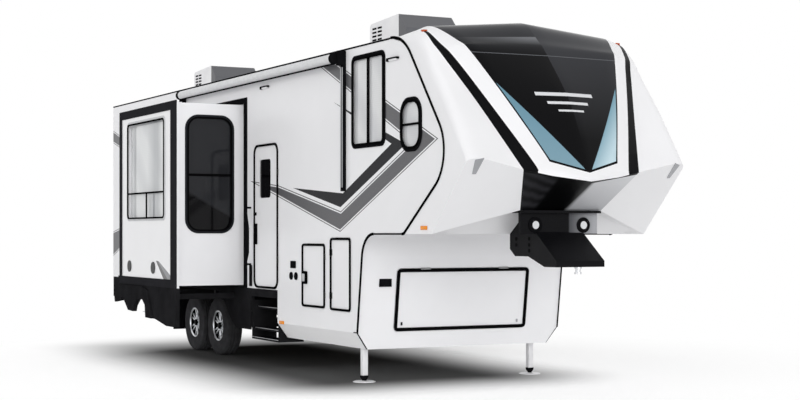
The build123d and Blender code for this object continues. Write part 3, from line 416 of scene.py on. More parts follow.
def pin_box_paint():
    """Black coating; the far half of the front plate has a painted pale sheen."""
    made = Finish("pin_box_coating", 0.35, specular=0.06)
    across = made.axis("Y")
    plate = made.every(made.past(2.012), made.over(made.axis("Z"), 1.634),
                       made.under(made.axis("X"), 2.030 + ORIGIN_X), made.between(across, 0.11, 0.13))
    base = made.mix(made.noise(60.0), "0c0c0e", "161619")
    # Painted sheen: the far half of the front plate pales outward.
    painted_sheen = made.mix(made.between(across, 0.14, 0.42), "56575b", "a9aaae")
    return made.colour(made.mix(plate, base, painted_sheen)).bump(made.noise(70.0, 2.0), 0.0008).mat


def pale_glass(name, pale, painted_streak, split=None):
    """Glass with blinds behind it and painted reflection streaks; dark past the split station if one is given.
    """
    made = Finish(name, 0.06, coat=0.3)
    # Painted reflection: soft diagonal streaks over the blinds.
    shade = made.mix(made.between(made.bands("DIAGONAL", 0.7, 1.5), 0.3, 1.0), pale, painted_streak)
    slats = made.between(made.bands("Z", 14.0), 0.0, 0.12, 0.12, 0.0)
    shade = made.mix(slats, shade, "9b9da0")
    if split is not None:
        x, middle = made.axis("X"), split + ORIGIN_X
        band = made.every(made.between(x, middle - 1.15, middle - 0.85),
                          made.between(x, middle - 0.72, middle - 0.55, 1.0, 0.0), 0.7)
        shade = made.mix(band, shade, "a3a6aa")
        # Past the split the glass is dark, with a painted reflection that is lighter above a slanting line.
        slope = made.line(made.out(), -0.55, made.axis("Z"))
        night = made.mix(made.between(slope, 1.02, 1.06), "0b0b0d", "26272a")
        shade = made.mix(made.past(split), shade, night)
        made.feed(made.between(x, middle - 0.01, middle + 0.01, 0.5, 0.15),
                  made.shader.inputs["Specular IOR Level"])
        made.shader.inputs["Coat Weight"].default_value = 0.0
    return made.colour(shade).mat


def room_frame_paint(split):
    """Window frames as pale as the glass beside them, and dark past the split station."""
    made = Finish("room_frame_paint", 0.4, specular=0.02)
    pale = made.mottled("c9cacd", "d6d7d9", 6.0, 0.2)
    return made.colour(made.mix(made.past(split), pale, "232427")).mat


def cooler_plastic():
    """White housing whose leaning front is dark."""
    made = Finish("cooler_housing", 0.45)
    fronts = [made.every(made.past(rear + 0.748), made.under(made.axis("X"), rear + 1.0 + ORIGIN_X))
              for rear in COOLERS]
    housing = made.mottled("e4e4e6", "eeeeef", 5.0, 0.2)
    made.colour(made.mix(made.fold("MAXIMUM", fronts), housing, "55565a"))
    return made.bump(made.noise(220.0, 2.0), 0.0006).mat


def speaker_grille():
    made = Finish("speaker_grille", 0.55)
    dots = made.texture("Voronoi", {"Scale": 130.0})["Distance"]
    made.colour(made.mix(made.between(dots, 0.2, 0.5), "0a0a0b", "2c2c2e"))
    return made.bump(dots, 0.001, 0.8).mat


def lens(name, code):
    """Ribbed lamp glass."""
    made = Finish(name, 0.2, coat=0.1, specular=0.2)
    ribs = made.bands("X", 30.0)
    return made.colour(made.mix(ribs, linear(code, 0.75), code)).bump(ribs, 0.0008, 0.5).mat


def brushed(name, code, rough=0.32):
    made = Finish(name, rough, metallic=1.0)
    stretch = made.add("ShaderNodeMapping")
    made.feed(made.place, stretch.inputs["Vector"])
    stretch.inputs["Scale"].default_value = (60, 6, 60)
    grain = made.texture("Noise", {"Scale": 4.0}, stretch.outputs[0])["Fac"]
    made.feed(made.between(grain, 0.3, 0.7, rough * 0.8, rough * 1.3), made.shader.inputs["Roughness"])
    return made.colour(made.mix(grain, linear(code, 0.8), code)).mat


white = plain_white("white_gelcoat")
hatch_white = plain_white("hatch_gelcoat", 1.2495)
# Basement pan in a brighter white than the rest: painted light that lifts the shade on its downward-facing
# chamfer.
pan_white_painted_bright = plain_white("pan_gelcoat_painted_bright", codes=("fcfcfd", "fefeff"))
wall = wall_paint()
room = room_paint()
black = painted("black_trim", "161618", 0.45, 0.0, 0.0, depth=0.25, grain=0.0003)
rubber_seal = painted("seal_rubber", "0d0d0e", 0.6, 0.0, 0.0, depth=0.2, grain=0.0004)
charcoal = painted("charcoal_skirt", "262628", 0.45, 0.0, 0.0, depth=0.3, grain=0.0006, grain_scale=160)
fascia = painted("fascia_paint", "2c2c2f", 0.40, 0.0, 0.0, depth=0.1, grain=0.0003)
steel = painted("black_frame_paint", "121214", 0.45, 0.0, 0.02, depth=0.2, grain=0.0005, grain_scale=90)
pin_paint = pin_box_paint()
plated = brushed("plated_steel", "dcdde0")
alloy = brushed("wheel_alloy", "eceef2", 0.30)
# Near-black for the barrel and the disc behind the spokes: painted shade for the openings between them; the
# hub cap takes it too.
alloy_painted_shade = painted("wheel_pockets_painted_shade", "0a0a0c", 0.5, 0.0, 0.02)
tyre_rubber = painted("tyre_rubber", "434345", 0.8, 0.0, 0.0, scale=9.0, depth=0.25, grain=0.0005)
screen = windscreen_gloss()
stripe = painted("stripe_gloss_black", "121214", 0.15, 0.0, 0.03, depth=0.1)
bolt_black = painted("bolt_black", "080809", 0.5, 0.0, 0.02)
chin_painted_light = chin_paint()
blind_glass = pale_glass("blind_glass", "dcddde", "cccdd0")
room_glass = pale_glass("room_glass", "e0e2e3", "d3d5d7", DARK_FROM)
room_frames = room_frame_paint(DARK_FROM)
night_glass = painted("night_glass", "08080a", 0.08, 0.0, 0.05, depth=0.3)
floor_board = painted("floor_board", "8c7a66", 0.6, 0.0, scale=12, depth=0.2, grain=0.0005)
cooler = cooler_plastic()
grille = speaker_grille()
amber = lens("amber_lens", "ff9a1e")
nose_amber = lens("nose_lamp_lens", "c8501c")
red = lens("red_lens", "a81414")
clear_lamp = lens("docking_lens", "f4f6f8")
roller_cloth = painted("awning_cloth", "dcdddf", 0.4, 0.1, scale=20, depth=0.08, grain=0.0006)
leg_paint = painted("leg_paint", "e9e9eb", 0.35, 0.1, depth=0.04)
fin_grey = painted("fin_grey", "a9aaae", 0.4, 0.0, depth=0.1)
silver_line = painted("tread_nosing", "b9babd", 0.35, 0.2, metallic=0.6)


def dress(mat, *names):
    """Gives CAD nodes a material."""
    for name in names:
        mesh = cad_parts[name].data
        mesh.materials.clear()
        mesh.materials.append(mat)


# Mesh helpers

def fresh(bm, before):
    return [vert for vert in bm.verts if vert not in before]


def tint(verts, mat):
    for face in {face for vert in verts for face in vert.link_faces}:
        face.material_index = mat


def soft_cube(bm, size, bevel, segments=2, change=None):
    """Cube of a size with softened edges; change moves its corners before these are cut."""
    before = set(bm.verts)
    cube = bmesh.ops.create_cube(bm, size=1)["verts"]
    bmesh.ops.scale(bm, vec=size, verts=cube)
    if change:
        for vert in cube:
            change(vert)
    edges = list({edge for vert in cube for edge in vert.link_edges})
    bmesh.ops.bevel(bm, geom=edges, offset=bevel, segments=segments, affect="EDGES", profile=0.5, material=-1)
    return fresh(bm, before)


def block(bm, x, y, z, bevel=0.002, segments=2, mat=0):
    """Box with softened edges; x is a range of stations."""
    made = soft_cube(bm, (x[1] - x[0], y[1] - y[0], z[1] - z[0]), bevel, segments)
    bmesh.ops.translate(bm, verts=made, vec=at(sum(x) / 2, sum(y) / 2, sum(z) / 2))
    tint(made, mat)


def wall_block(bm, x, proud, z, bevel, mat=0):
    """Box that stands out from the right wall."""
    block(bm, x, (-HALF - proud, -HALF), z, bevel, mat=mat)


def y_range(side, near, far):
    """Range of Y on one side, from its distances to the middle plane."""
    return sorted((side * near, side * far))


def rounded(across, up, radius, steps=5):
    """Corner points of a rounded rectangle, as pairs."""
    points = []
    (left, right), (low, high) = across, up
    for k, (u, v) in enumerate(((right, high), (left, high), (left, low), (right, low))):
        middle = (u - radius if u == right else u + radius, v - radius if v == high else v + radius)
        for step in range(steps + 1):
            angle = math.pi / 2 * (k + step / steps)
            points.append((middle[0] + radius * math.cos(angle), middle[1] + radius * math.sin(angle)))
    return points


def on_side(y):
    return lambda u, v: at(u, y, v)


def on_front(x):
    return lambda u, v: at(x, u, v)


def thicken(bm, faces, depth):
    made = bmesh.ops.extrude_face_region(bm, geom=faces)["geom"]
    bmesh.ops.translate(bm, verts=[part for part in made if isinstance(part, bmesh.types.BMVert)], vec=depth)


def frame_ring(bm, points, to_space, width, depth):
    """Flat ring inside a closed outline, pushed out by a depth vector."""
    before = set(bm.faces)
    face = bm.faces.new([bm.verts.new(to_space(u, v)) for u, v in points])
    face.normal_update()
    bmesh.ops.inset_individual(bm, faces=[face], thickness=width, use_even_offset=True)
    rim = [part for part in bm.faces if part not in before and part is not face]
    bmesh.ops.delete(bm, geom=[face], context="FACES_ONLY")
    thicken(bm, rim, depth)


def sheet(bm, points, depth):
    """Flat outline given a thickness."""
    thicken(bm, [bm.faces.new([bm.verts.new(point) for point in points])], depth)


def lathe(bm, profile, centre, axis, steps=48, mat=0):
    """Closed profile (radius, along) turned about an axis through a point."""
    axis = Vector(axis).normalized()
    side = axis.orthogonal().normalized()
    before = set(bm.verts)
    verts = [bm.verts.new(centre + side * radius + axis * along) for radius, along in profile]
    edges = [bm.edges.new((first, second)) for first, second in zip(verts, verts[1:] + verts[:1])]
    bmesh.ops.spin(bm, geom=verts + edges, cent=centre, axis=axis, angle=math.tau, steps=steps, use_merge=True)
    tint(fresh(bm, before), mat)


def piece(name, bm, mats, body="root", replaces=(), sharp=35):
    """Object from a finished mesh, riding on a body."""
    bmesh.ops.remove_doubles(bm, verts=bm.verts, dist=0.00002)
    bmesh.ops.delete(bm, geom=[edge for edge in bm.edges if not edge.link_faces], context="EDGES")
    bmesh.ops.recalc_face_normals(bm, faces=bm.faces)
    mesh = bpy.data.meshes.new(name)
    bm.to_mesh(mesh)
    bm.free()
    for mat in mats:
        mesh.materials.append(mat)
    mesh.shade_smooth()
    mesh.set_sharp_from_angle(angle=math.radians(sharp))
    obj = show(name, mesh)
    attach(obj, body)
    if replaces:
        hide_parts(*replaces)


# Nose

def smooth_line(points, steps):
    """Points on a smooth curve through the given points."""
    ends = [points[0] * 2 - points[1], *points, points[-1] * 2 - points[-2]]
    line = []
    for k in range(1, len(ends) - 2):
        a, b, c, d = ends[k - 1:k + 3]
        for step in range(steps):
            t = step / steps
            line.append(0.5 * (2 * b + (c - a) * t + (2 * a - 5 * b + 4 * c - d) * t * t
                               + (3 * b - 3 * c + d - a) * t ** 3))
    return [*line, points[-1]]


def nose_points(middle, glass, outer, *flat):
    """Points of a table row; the first lies in the middle plane and the last ones on the flat side."""
    return [at(middle[0], 0, middle[1]), at(*glass), at(*outer), *[at(x, HALF, z) for x, z in flat]]


def nose_row(middle, glass, outer, cheek, side, share):
    """Points across half the nose, with the cheek's corner rounded off."""
    line = [middle.lerp(glass, k / 6) for k in range(6)]
    start = cheek.lerp(outer, 0.4)
    line += [glass, glass.lerp(outer, share), outer, outer.lerp(start, 1 / 3), outer.lerp(start, 2 / 3)]
    for k in range(8):
        t = k / 7
        line.append(start.lerp(cheek, t).lerp(cheek.lerp(side, t), t))
    return line


def seam_curve(corners):
    """Points along a line of rounded corners."""
    flat = [Vector((x, z)) for x, z, _ in corners]
    line = []
    for before, here, after, corner in zip(flat, flat[1:], flat[2:], corners[1:]):
        back, on = (before - here).normalized(), (after - here).normalized()
        half = back.angle(on) / 2
        reach = corner[2] / math.tan(half)
        middle = here + (back + on).normalized() * corner[2] / math.sin(half)
        first, last = here + back * reach - middle, here + on * reach - middle
        for k in range(25):
            line.append(middle + first.lerp(last, k / 24).normalized() * corner[2])
    return line


def seam_line(count):
    """The side wall's front edge as evenly spaced points."""
    line = seam_curve(SEAM_CORNERS)
    lengths = [0.0]
    for first, second in zip(line, line[1:]):
        lengths.append(lengths[-1] + (second - first).length)
    points = []
    for k in range(count):
        want = lengths[-1] * k / (count - 1)
        place = min(max(i for i, length in enumerate(lengths) if length <= want + 1e-9), len(line) - 2)
        span = lengths[place + 1] - lengths[place]
        share = (want - lengths[place]) / span if span else 0
        points.append(line[place].lerp(line[place + 1], share))
    return points


def placed_grid(bm, rows, chooser):
    """Grid whose vertices are set row by row, with a material chosen for every cell."""
    grid = bmesh.ops.create_grid(bm, x_segments=len(rows) - 1, y_segments=len(rows[0]) - 1, size=1)["verts"]
    grid.sort(key=lambda vert: (round(vert.co.x, 5), round(vert.co.y, 5)))
    index = {}
    for k, vert in enumerate(grid):
        row, col = divmod(k, len(rows[0]))
        vert.co = rows[row][col]
        index[vert] = (row, col)
    for face in {face for vert in grid for face in vert.link_faces}:
        face.material_index = chooser(min(index[vert][0] for vert in face.verts),
                                      min(index[vert][1] for vert in face.verts))


def nose():
    """One smooth shell for the nose: gloss panel, border, stripe, cheeks and the recess under its lip."""
    steps = 7
    border, edge = 6, 7
    columns = [smooth_line(column, steps) for column in zip(*[nose_points(*row[:5]) for row in NOSE_ROWS])]
    shares = [value.x for value in smooth_line([Vector((row[5], 0, 0)) for row in NOSE_ROWS], steps)]
    rows = [nose_row(*points, share) for *points, share in zip(*columns, shares)]

    def skin(row, col):
        """White, but for the screen (1) and the stripe beside it (2)."""
        if row < steps or col > edge:
            return 0
        if col == edge:
            return 2
        return 0 if col == border or row >= SILL_ROW * steps else 1

    def chin(row, col):
        return 0 if col > edge or row > 1 else 3

    bm = bmesh.new()
    placed_grid(bm, rows, skin)
    under = [rows[-1]]
    for row in CHIN_ROWS:
        points = nose_points(*row)
        under.append(nose_row(*points, points[3], 0.5))
    placed_grid(bm, under, chin)
    outline = [row[-1] for row in rows]
    low_front, low_rear = nose_points(*CHIN_ROWS[0])[3], at(NECK_REAR, HALF, NECK_FLOOR)
    outline += [outline[-1].lerp(low_front, k / 10) for k in range(1, 11)]
    outline += [low_front.lerp(low_rear, k / 6) for k in range(1, 7)]
    seam = [at(point.x, HALF, point.y) for point in seam_line(len(outline))]
    placed_grid(bm, list(zip(outline, seam)), lambda row, col: 0)
    bmesh.ops.remove_doubles(bm, verts=bm.verts, dist=0.0002)
    bmesh.ops.mirror(bm, geom=[*bm.verts, *bm.edges, *bm.faces], axis="Y", merge_dist=0.0002)
    piece("nose_shell", bm, [white, screen, stripe, chin_painted_light],
          replaces=("nose_cap", "windscreen_panel"), sharp=22)


def seam_bead():
    """Black bead along the front edge of the side wall and down the corner of the basement."""
    half_width = 0.014
    profile = ((-1, -0.004), (-1, 0.007), (-0.6, 0.010), (0.6, 0.010), (1, 0.007), (1, -0.004), (-1, -0.004))
    upper = [Vector((0.820, ROOF_EDGE)), *seam_curve(SEAM_CORNERS)]
    lower = [*seam_curve(BASE_CORNERS), Vector(FACE_FOOT)]
    bm = bmesh.new()
    for side in (-1, 1):
        for line in (upper, lower):
            rows = []
            for k, point in enumerate(line):
                along = (line[min(k + 1, len(line) - 1)] - line[max(k - 1, 0)]).normalized() * half_width
                rows.append([at(point.x - way * along.y, side * (HALF + proud), point.y + way * along.x)
                             for way, proud in profile])
            placed_grid(bm, rows, lambda row, col: 0)
    bmesh.ops.remove_doubles(bm, verts=bm.verts, dist=0.00002)
    bmesh.ops.holes_fill(bm, edges=[edge for edge in bm.edges if edge.is_boundary], sides=6)
    piece("seam_bead", bm, [rubber_seal])


# Wheels

def tyre(name, centre, out):
    """Tyre with raised tread blocks."""
    bm = bmesh.new()
    mirrored = [(radius, -along) for radius, along in reversed(TYRE_WALL)]
    lathe(bm, [*mirrored, *TYRE_CROWN, *TYRE_WALL], centre, out, 60)
    tread = []
    for face in bm.faces:
        spot = face.calc_center_median() - centre
        if abs(spot.y) < 0.062 and math.hypot(spot.x, spot.z) > 0.384:
            tread.append(face)
    bmesh.ops.recalc_face_normals(bm, faces=bm.faces)
    bmesh.ops.inset_individual(bm, faces=tread, thickness=0.003, depth=0.0035, use_even_offset=True)
    piece(name + "_tyre_tread", bm, [tyre_rubber], name + "_wheel", (name + "_tyre",))


def spoke(bm, centre, side, lean, turn):
    """One bar of a split spoke, slimmer and further out at its outer end."""
    def taper(vert):
        if vert.co.z > 0:
            vert.co.x *= 0.8
            vert.co.y += side * 0.008

    made = soft_cube(bm, (0.021, 0.030, 0.132), 0.004, change=taper)
    bmesh.ops.rotate(bm, verts=made, cent=(0, 0, -0.06), matrix=Matrix.Rotation(lean * 0.17, 3, "Y"))
    bmesh.ops.translate(bm, verts=made, vec=(lean * 0.012, side * 0.052, 0.122))
    bmesh.ops.rotate(bm, verts=made, cent=(0, 0, 0), matrix=Matrix.Rotation(turn, 3, "Y"))
    bmesh.ops.translate(bm, verts=made, vec=centre)


def wheel(name, x, side):
    """Tyre and alloy wheel, with six split spokes and eight nuts round its hub."""
    spokes, nuts, nut_circle = 6, 8, 0.060
    centre = at(x, side * WHEEL_OUT, AXLE_HEIGHT)
    out = Vector((0, side, 0))
    tyre(name, centre, out)
    bm = bmesh.new()
    # Material 1 is the near-black: painted shade behind the spokes, and the hub cap's colour.
    for profile, steps, mat in ((RIM_BARREL, 60, 1), (RIM_LIP, 60, 0), (RIM_DISC, 48, 1), (HUB, 40, 0),
                                (HUB_CAP, 32, 1)):
        lathe(bm, profile, centre, out, steps, mat)
    for k in range(spokes):
        for lean in (-1, 1):
            spoke(bm, centre, side, lean, k * math.tau / spokes)
    for k in range(nuts):
        angle = (k + 0.5) * math.tau / nuts
        spot = centre + Vector((nut_circle * math.sin(angle), side * 0.062, nut_circle * math.cos(angle)))
        bmesh.ops.create_cone(bm, cap_ends=True, segments=6, radius1=0.0115, radius2=0.009, depth=0.026,
                              matrix=Matrix.Translation(spot) @ Matrix.Rotation(-side * math.pi / 2, 4, "X"))
    piece(name + "_alloy", bm, [alloy, alloy_painted_shade], name + "_wheel", (name + "_rim",))


# Camera, floor and light

def camera():
    data = bpy.data.cameras.new("photo_camera")
    data.sensor_width = 36
    data.lens = FOCAL
    data.shift_y = HORIZON_SHIFT
    data.clip_end = 400
    holder = show("photo_camera", data)
    holder.location = CAMERA_AT
    holder.rotation_euler = (math.radians(90), 0, math.radians(CAMERA_YAW))
    bpy.context.scene.camera = holder


def seen(tree):
    """One for rays that come straight from the camera, off gloss or through glass."""
    path = tree.nodes.new("ShaderNodeLightPath")
    total = path.outputs["Is Camera Ray"]
    for name in ("Is Glossy Ray", "Is Transmission Ray"):
        node = tree.nodes.new("ShaderNodeMath")
        node.operation = "MAXIMUM"
        tree.links.new(total, node.inputs[0])
        tree.links.new(path.outputs[name], node.inputs[1])
        total = node.outputs[0]
    return total


def choose(tree, share, first, second, output):
    """Feeds an output with one shader or the other."""
    node = tree.nodes.new("ShaderNodeMixShader")
    for value, socket in zip((share, first.outputs[0], second.outputs[0]), node.inputs):
        tree.links.new(value, socket)
    tree.links.new(node.outputs[0], tree.nodes[output].inputs[0])


def studio():
    """White world, brighter behind the trailer than in the light it gives, and three soft suns."""
    world = bpy.data.worlds.new("studio")
    bpy.context.scene.world = world
    world.use_nodes = True
    tree = world.node_tree
    light = tree.nodes["Background"]
    backdrop = tree.nodes.new("ShaderNodeBackground")
    for node, strength in ((light, WORLD_LIGHT), (backdrop, 1.0)):
        node.inputs[0].default_value = (1, 1, 1, 1)
        node.inputs[1].default_value = strength
    choose(tree, seen(tree), light, backdrop, "World Output")
    bpy.context.scene.view_settings.view_transform = "Standard"
    for name, energy, turn in SUNS:
        sun = bpy.data.lights.new(name, "SUN")
        sun.energy = energy
        sun.angle = 0.9
        show(name, sun).rotation_euler = [math.radians(angle) for angle in turn]


def floor():
    """Paper floor with a painted shade, which fades into plain white; both only as the camera sees it."""
    bm = bmesh.new()
    bmesh.ops.create_circle(bm, cap_ends=True, segments=96, radius=90)
    mesh = bpy.data.meshes.new("floor")
    bm.to_mesh(mesh)
    bm.free()
    made = Finish("floor_paper", 0.9, specular=0.0)
    # distance from a rounded strip under the trailer, where the floor lies in its shade
    distance = made.place
    for operation, other in (("SUBTRACT", SHADE_MIDDLE), ("ABSOLUTE", None), ("SUBTRACT", SHADE_HALF),
                             ("MAXIMUM", (0, 0, 0)), ("LENGTH", None)):
        node = made.add("ShaderNodeVectorMath", operation=operation)
        made.feed(distance, node.inputs[0])
        if other:
            node.inputs[1].default_value = other
        distance = node.outputs["Value" if operation == "LENGTH" else "Vector"]
    for socket, plain, low, high in (("Base Color", 0.93, 0.10, 0.93), ("Emission Color", 0.0, 0.0, 0.34)):
        shade = made.add("ShaderNodeMapRange", data_type="FLOAT_VECTOR", interpolation_type="SMOOTHSTEP")
        made.feed(distance, shade.inputs[6])
        for field, number in zip(shade.inputs[7:11], (0.0, SHADE_RUN, low, high)):
            field.default_value = (number,) * 3
        colour = made.mix(seen(made.tree), (plain, plain, plain, 1), shade.outputs[1])
        made.feed(colour, made.shader.inputs[socket])
    made.shader.inputs["Emission Strength"].default_value = 1.0
    reach = made.add("ShaderNodeVectorMath", operation="DISTANCE")
    made.feed(made.place, reach.inputs[0])
    reach.inputs[1].default_value = FLOOR_FADE_FROM
    fade = made.every(made.between(reach.outputs["Value"], *FLOOR_FADE), seen(made.tree))
    choose(made.tree, fade, made.shader, made.add("ShaderNodeEmission"), "Material Output")
    mesh.materials.append(made.mat)
    show("floor", mesh)


# Fittings

def door_seals():
    """Black seals of the right wall's doors with their handles, riding on the doors."""
    table = (("entry_door", (-2.920, -2.160), (0.962, 2.735), 0.110, 0.024),
             ("rear_baggage_door", (-1.435, -0.805), (0.790, 1.515), 0.040, 0.023),
             ("front_baggage_door", (-0.655, -0.135), (0.780, 1.585), 0.040, 0.023))
    for body, across, up, radius, width in table:
        bm = bmesh.new()
        frame_ring(bm, rounded(across, up, radius), on_side(-HALF), width, (0, -0.015, 0))
        if body == "entry_door":
            wall_block(bm, (-2.878, -2.838), 0.030, (1.560, 1.700), 0.008)
            wall_block(bm, (-2.900, -2.820), 0.012, (1.500, 1.760), 0.005)
            wall_block(bm, (-2.872, -2.846), 0.022, (1.860, 1.900), 0.006)
        elif body == "rear_baggage_door":
            wall_block(bm, (-1.430, -1.290), 0.022, (1.050, 1.200), 0.012)
            block(bm, (-1.405, -1.335), (-HALF - 0.026, -HALF - 0.018), (1.080, 1.170), 0.004, mat=1)
        piece(body + "_seal", bm, [rubber_seal, silver_line], body)


def window_seals():
    """Black seals and bars of every window."""
    windows = (((-0.085, 0.668), (2.580, 3.530), 0.060), ((1.060, 1.472), (2.490, 2.985), 0.150))
    for side, name in ((-1, "right"), (1, "left")):
        out = (0, side * 0.017, 0)
        bm = bmesh.new()
        for across, up, radius in windows:
            frame_ring(bm, rounded(across, up, radius, 8), on_side(side * HALF), 0.024, out)
        skin = y_range(side, HALF - 0.010, HALF + 0.012)
        block(bm, (0.272, 0.298), skin, (2.600, 3.510), 0.003)
        block(bm, (1.080, 1.452), skin, (2.729, 2.751), 0.003)
        piece(name + "_window_seals", bm, [rubber_seal])

        bm = bmesh.new()
        face = ROOM_FACE - 0.010
        frame_ring(bm, rounded((-5.240, -3.710), (1.830, 3.110), 0.060, 8), on_side(side * face), 0.021, out)
        skin = y_range(side, face - 0.004, face + 0.013)
        block(bm, (-5.220, -3.730), skin, (2.159, 2.181), 0.003)
        block(bm, (-4.448, -4.422), skin, (1.850, 2.170), 0.003)
        across = y_range(side, 1.445, 2.043)
        block(bm, (-3.285, -3.266), (across[0] + 0.02, across[1] - 0.02), (2.357, 2.387), 0.003)
        frame_ring(bm, rounded(across, (1.665, 3.100), 0.150, 8), on_front(-3.277), 0.020, (0.014, 0, 0))
        piece(name + "_slide_window_seals", bm, [rubber_seal], name + "_slide_room")


def face_x(z):
    """Station of the leaning front face of the basement at a height."""
    return FACE_FOOT[0] + (z - FACE_FOOT[1]) * FACE_LEAN


def hatch_seal():
    """Wide seal and two latches of the front hatch, on its leaning face."""
    bm = bmesh.new()
    outline = rounded((-0.844, 0.844), (0.566, 1.249), 0.044)
    frame_ring(bm, outline, lambda u, v: at(face_x(v), u, v), 0.036, (0.012, 0, -0.0016))
    x = face_x(0.645)
    # The latches take the recess's material: painted shade on the near one, a painted sheen on the far one.
    for y in (-0.754, 0.728):
        block(bm, (x - 0.002, x + 0.014), (y - 0.010, y + 0.010), (0.628, 0.664), 0.004, mat=1)
    piece("front_hatch_seal", bm, [rubber_seal, chin_painted_light], "front_hatch")


def service_fittings():
    """Inlets, porch lights and a vent of the right wall, a plate on the front face and corner braces."""
    bm = bmesh.new()
    wall_block(bm, (-1.775, -1.625), 0.012, (1.226, 1.312), 0.006)
    for x in (-1.758, -1.618):
        lathe(bm, [(0, 0), (0.046, 0), (0.046, 0.010), (0.040, 0.014), (0.030, 0.010), (0, 0.008)],
              at(x, -HALF, 1.134), (0, -1, 0), 28)
    for x in (0.888, -2.552):
        wall_block(bm, (x - 0.115, x + 0.115), 0.035, (3.440, 3.450), 0.004)
        wall_block(bm, (x - 0.118, x - 0.100), 0.035, (3.414, 3.448), 0.004)
        wall_block(bm, (x + 0.100, x + 0.118), 0.035, (3.428, 3.448), 0.004)
        wall_block(bm, (x - 0.090, x + 0.090), 0.022, (3.416, 3.438), 0.005, mat=1)
    x = face_x(1.100)
    block(bm, (x - 0.012, x + 0.012), (-1.057, -0.907), (1.056, 1.144), 0.004)
    wall_block(bm, (-3.035, -2.990), 0.030, (0.975, 1.240), 0.008)
    brace = ((0.010, 0, 0.560), (0.034, 0, 0.560), (0.004, 0.133, 0.378), (-0.020, 0.133, 0.378))
    for side in (-1, 1):
        sheet(bm, [at(x, side * (HALF - inset), z) for x, inset, z in brace], (0, side * 0.004, -0.003))
    piece("service_fittings", bm, [black, white])


def shade_sheets_and_mud_flaps():
    """Dark sheets inboard of the wheels, standing in for the shade under the body, and a mud flap behind each
    pair.
    """
    bm = bmesh.new()
    for side in (-1, 1):
        # Painted shade: a long dark sheet inboard of the wheels on each side; the other block is the mud flap.
        block(bm, (-6.350, -3.760), y_range(side, 0.790, 0.798), (0.440, 0.640), 0.002)
        block(bm, (-6.056, -6.046), y_range(side, 0.830, 1.262), (0.265, 0.760), 0.003)
    piece("shade_sheets_and_mud_flaps", bm, [black])


def legs():
    """Square front legs with a dark collar over a round foot plate."""
    half = 0.032
    x, out = LEG_AT
    collar = ((0, 0.014), (0.020, 0.014), (0.046, 0.052), (0.046, 0.072), (0, 0.072))
    plate = ((0, 0), (0.125, 0), (0.125, 0.006), (0.100, 0.014), (0, 0.016))
    bm = bmesh.new()
    for y in (-out, out):
        block(bm, (x - half, x + half), (y - half, y + half), (0.070, 0.375), 0.006, 3)
        lathe(bm, collar, at(x, y, 0), (0, 0, 1), 28, 1)
        lathe(bm, plate, at(x, y, 0), (0, 0, 1), 40)
    piece("square_legs", bm, [leg_paint, black], replaces=("landing_legs",))


def cheek_marks():
    """Short grey fins on the lower faces of the nose."""
    fin = ((2.441, 1.125, 2.351), (2.406, 1.203, 2.332), (2.287, 1.166, 2.204), (2.295, 1.132, 2.205))
    bm = bmesh.new()
    for side in (-1, 1):
        sheet(bm, [at(x, side * y, z) for x, y, z in fin], (0.006, 0, -0.004))
    piece("cheek_marks", bm, [fin_grey])


def marker_lenses():
    """Side and nose marker lamps with rounded lenses."""
    bm = bmesh.new()
    for side in (-1, 1):
        proud = y_range(side, HALF, HALF + 0.012)
        for x, z in ((-2.045, 0.566), (1.545, 1.691)):
            block(bm, (x - 0.066, x + 0.066), proud, (z - 0.020, z + 0.020), 0.006, 3)
        y = side * 1.180
        block(bm, (1.325, 1.378), (y - 0.028, y + 0.028), (3.650, 3.688), 0.008, 3, 1)
    piece("marker_lenses", bm, [amber, nose_amber], replaces=("marker_lights",))


def cooler_louvres():
    """Slots in both sides of the roof units."""
    bm = bmesh.new()
    for rear in COOLERS:
        for side in (-1, 1):
            for x in (rear + 0.07, rear + 0.21):
                for z in (3.930, 3.975, 4.020, 4.065):
                    block(bm, (x, x + 0.105), y_range(side, 0.350, 0.354), (z, z + 0.022), 0.0015)
    piece("cooler_louvres", bm, [black])


def pin_box_details():
    """Lamp surrounds and bolts on the pin box."""
    bm = bmesh.new()
    for y in (-0.287, 0.287):
        lathe(bm, [(0.041, 0.002), (0.078, 0.0), (0.078, 0.012), (0.041, 0.018)], at(2.020, y, 1.720),
              (1, 0, 0), 36)
    for x, z in ((1.662, 1.581), (1.662, 1.518), (1.907, 1.582), (1.907, 1.520), (1.907, 1.462)):
        for side in (-1, 1):
            lathe(bm, [(0, 0), (0.020, 0), (0.020, 0.003), (0, 0.004)], at(x, side * 0.284, z),
                  (0, side, 0), 20, 1)
    piece("pin_box_details", bm, [black, bolt_black])


def step_nosings():
    """Pale nosing along the front edge of each tread, and grip ribs."""
    bm = bmesh.new()
    for top, back in ((0.340, 0.020), (0.456, 0.060), (0.720, 0.100)):
        y = -HALF + back
        block(bm, (-3.035, -2.205), (y - 0.003, y + 0.008), (top - 0.004, top + 0.003), 0.001)
        for k in range(8):
            rib = y + 0.030 + k * 0.020
            block(bm, (-3.02, -2.22), (rib, rib + 0.006), (top, top + 0.003), 0.001, mat=1)
    piece("step_nosings", bm, [silver_line, black])


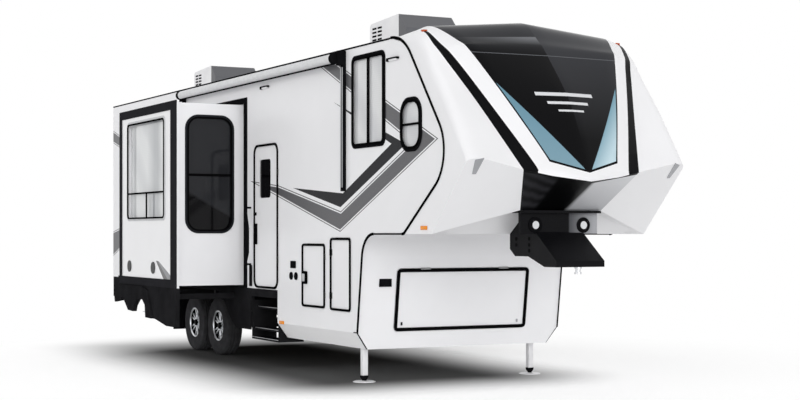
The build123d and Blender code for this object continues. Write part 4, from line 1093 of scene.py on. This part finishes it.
def awning_details():
    """Roof edge rails, a black strip as painted shadow under the awning's roller, its end caps and the front
    arm's channels.
    """
    end_cap = ((0, 0), (0.048, 0.004), (0.062, 0.016), (0.064, 0.075), (0.056, 0.086), (0, 0.086))
    bm = bmesh.new()
    for side in (-1, 1):
        block(bm, (-8.890, 0.800), y_range(side, HALF - 0.012, HALF + 0.006), (3.646, 3.664), 0.002)
    # Painted shadow: a black strip under the roller.
    block(bm, (-5.430, -0.340), (-HALF - 0.116, -HALF - 0.080), (3.497, 3.508), 0.002)
    for x, way in ((-5.462, 1), (-0.306, -1)):
        lathe(bm, end_cap, at(x, -HALF - 0.095, 3.560), (way, 0, 0), 32)
    for x in (-0.275, -0.315):
        block(bm, (x, x + 0.013), (-HALF - 0.046, -HALF - 0.038), (2.14, 3.46), 0.002, mat=1)
    piece("awning_details", bm, [black, silver_line])


WHEELS = [f"{end}_{side}" for end, _ in AXLES for side in ("left", "right")]
PAINT = {
    wall: ("left_side_wall", "right_side_wall", "entry_door", "rear_baggage_door", "front_baggage_door"),
    hatch_white: ("front_hatch",),
    pan_white_painted_bright: ("basement_pan",),
    white: ("lower_front_cap", "roof_panel", "rear_wall", "ramp_door", "nose_cap"),
    leg_paint: ("landing_legs",),
    room: ("left_slide_room", "right_slide_room"),
    screen: ("windscreen_panel",),
    steel: ("chassis_frame", "leaf_springs", "front_axle", "rear_axle"),
    pin_paint: ("pin_box",),
    plated: ("king_pin", "rear_jacks"),
    floor_board: ("main_floor", "raised_floor"),
    fascia: ("left_slide_fascia", "right_slide_fascia"),
    black: ("slide_opening_trims", "window_frames", "grab_handle", "awning_arms"),
    room_frames: ("left_slide_window_frames", "right_slide_window_frames"),
    rubber_seal: ("seam_beads",),
    charcoal: ("body_skirts", "left_slide_skirt", "right_slide_skirt", "entry_steps"),
    blind_glass: ("window_panes",),
    room_glass: ("left_slide_windows", "right_slide_windows"),
    night_glass: ("entry_door_window",),
    cooler: ("air_conditioners",),
    roller_cloth: ("awning_roller",),
    clear_lamp: ("docking_lights",),
    amber: ("marker_lights",),
    red: ("tail_lights",),
    grille: ("right_slide_speakers",),
    tyre_rubber: [name + "_tyre" for name in WHEELS],
    alloy: [name + "_rim" for name in WHEELS],
}

camera()
studio()
floor()
for mat, names in PAINT.items():
    dress(mat, *names)
nose()
seam_bead()
for end, x in AXLES:
    for side_name, side in (("left", 1), ("right", -1)):
        wheel(f"{end}_{side_name}", x, side)
door_seals()
window_seals()
hatch_seal()
service_fittings()
shade_sheets_and_mud_flaps()
legs()
cheek_marks()
marker_lenses()
cooler_louvres()
pin_box_details()
step_nosings()
awning_details()
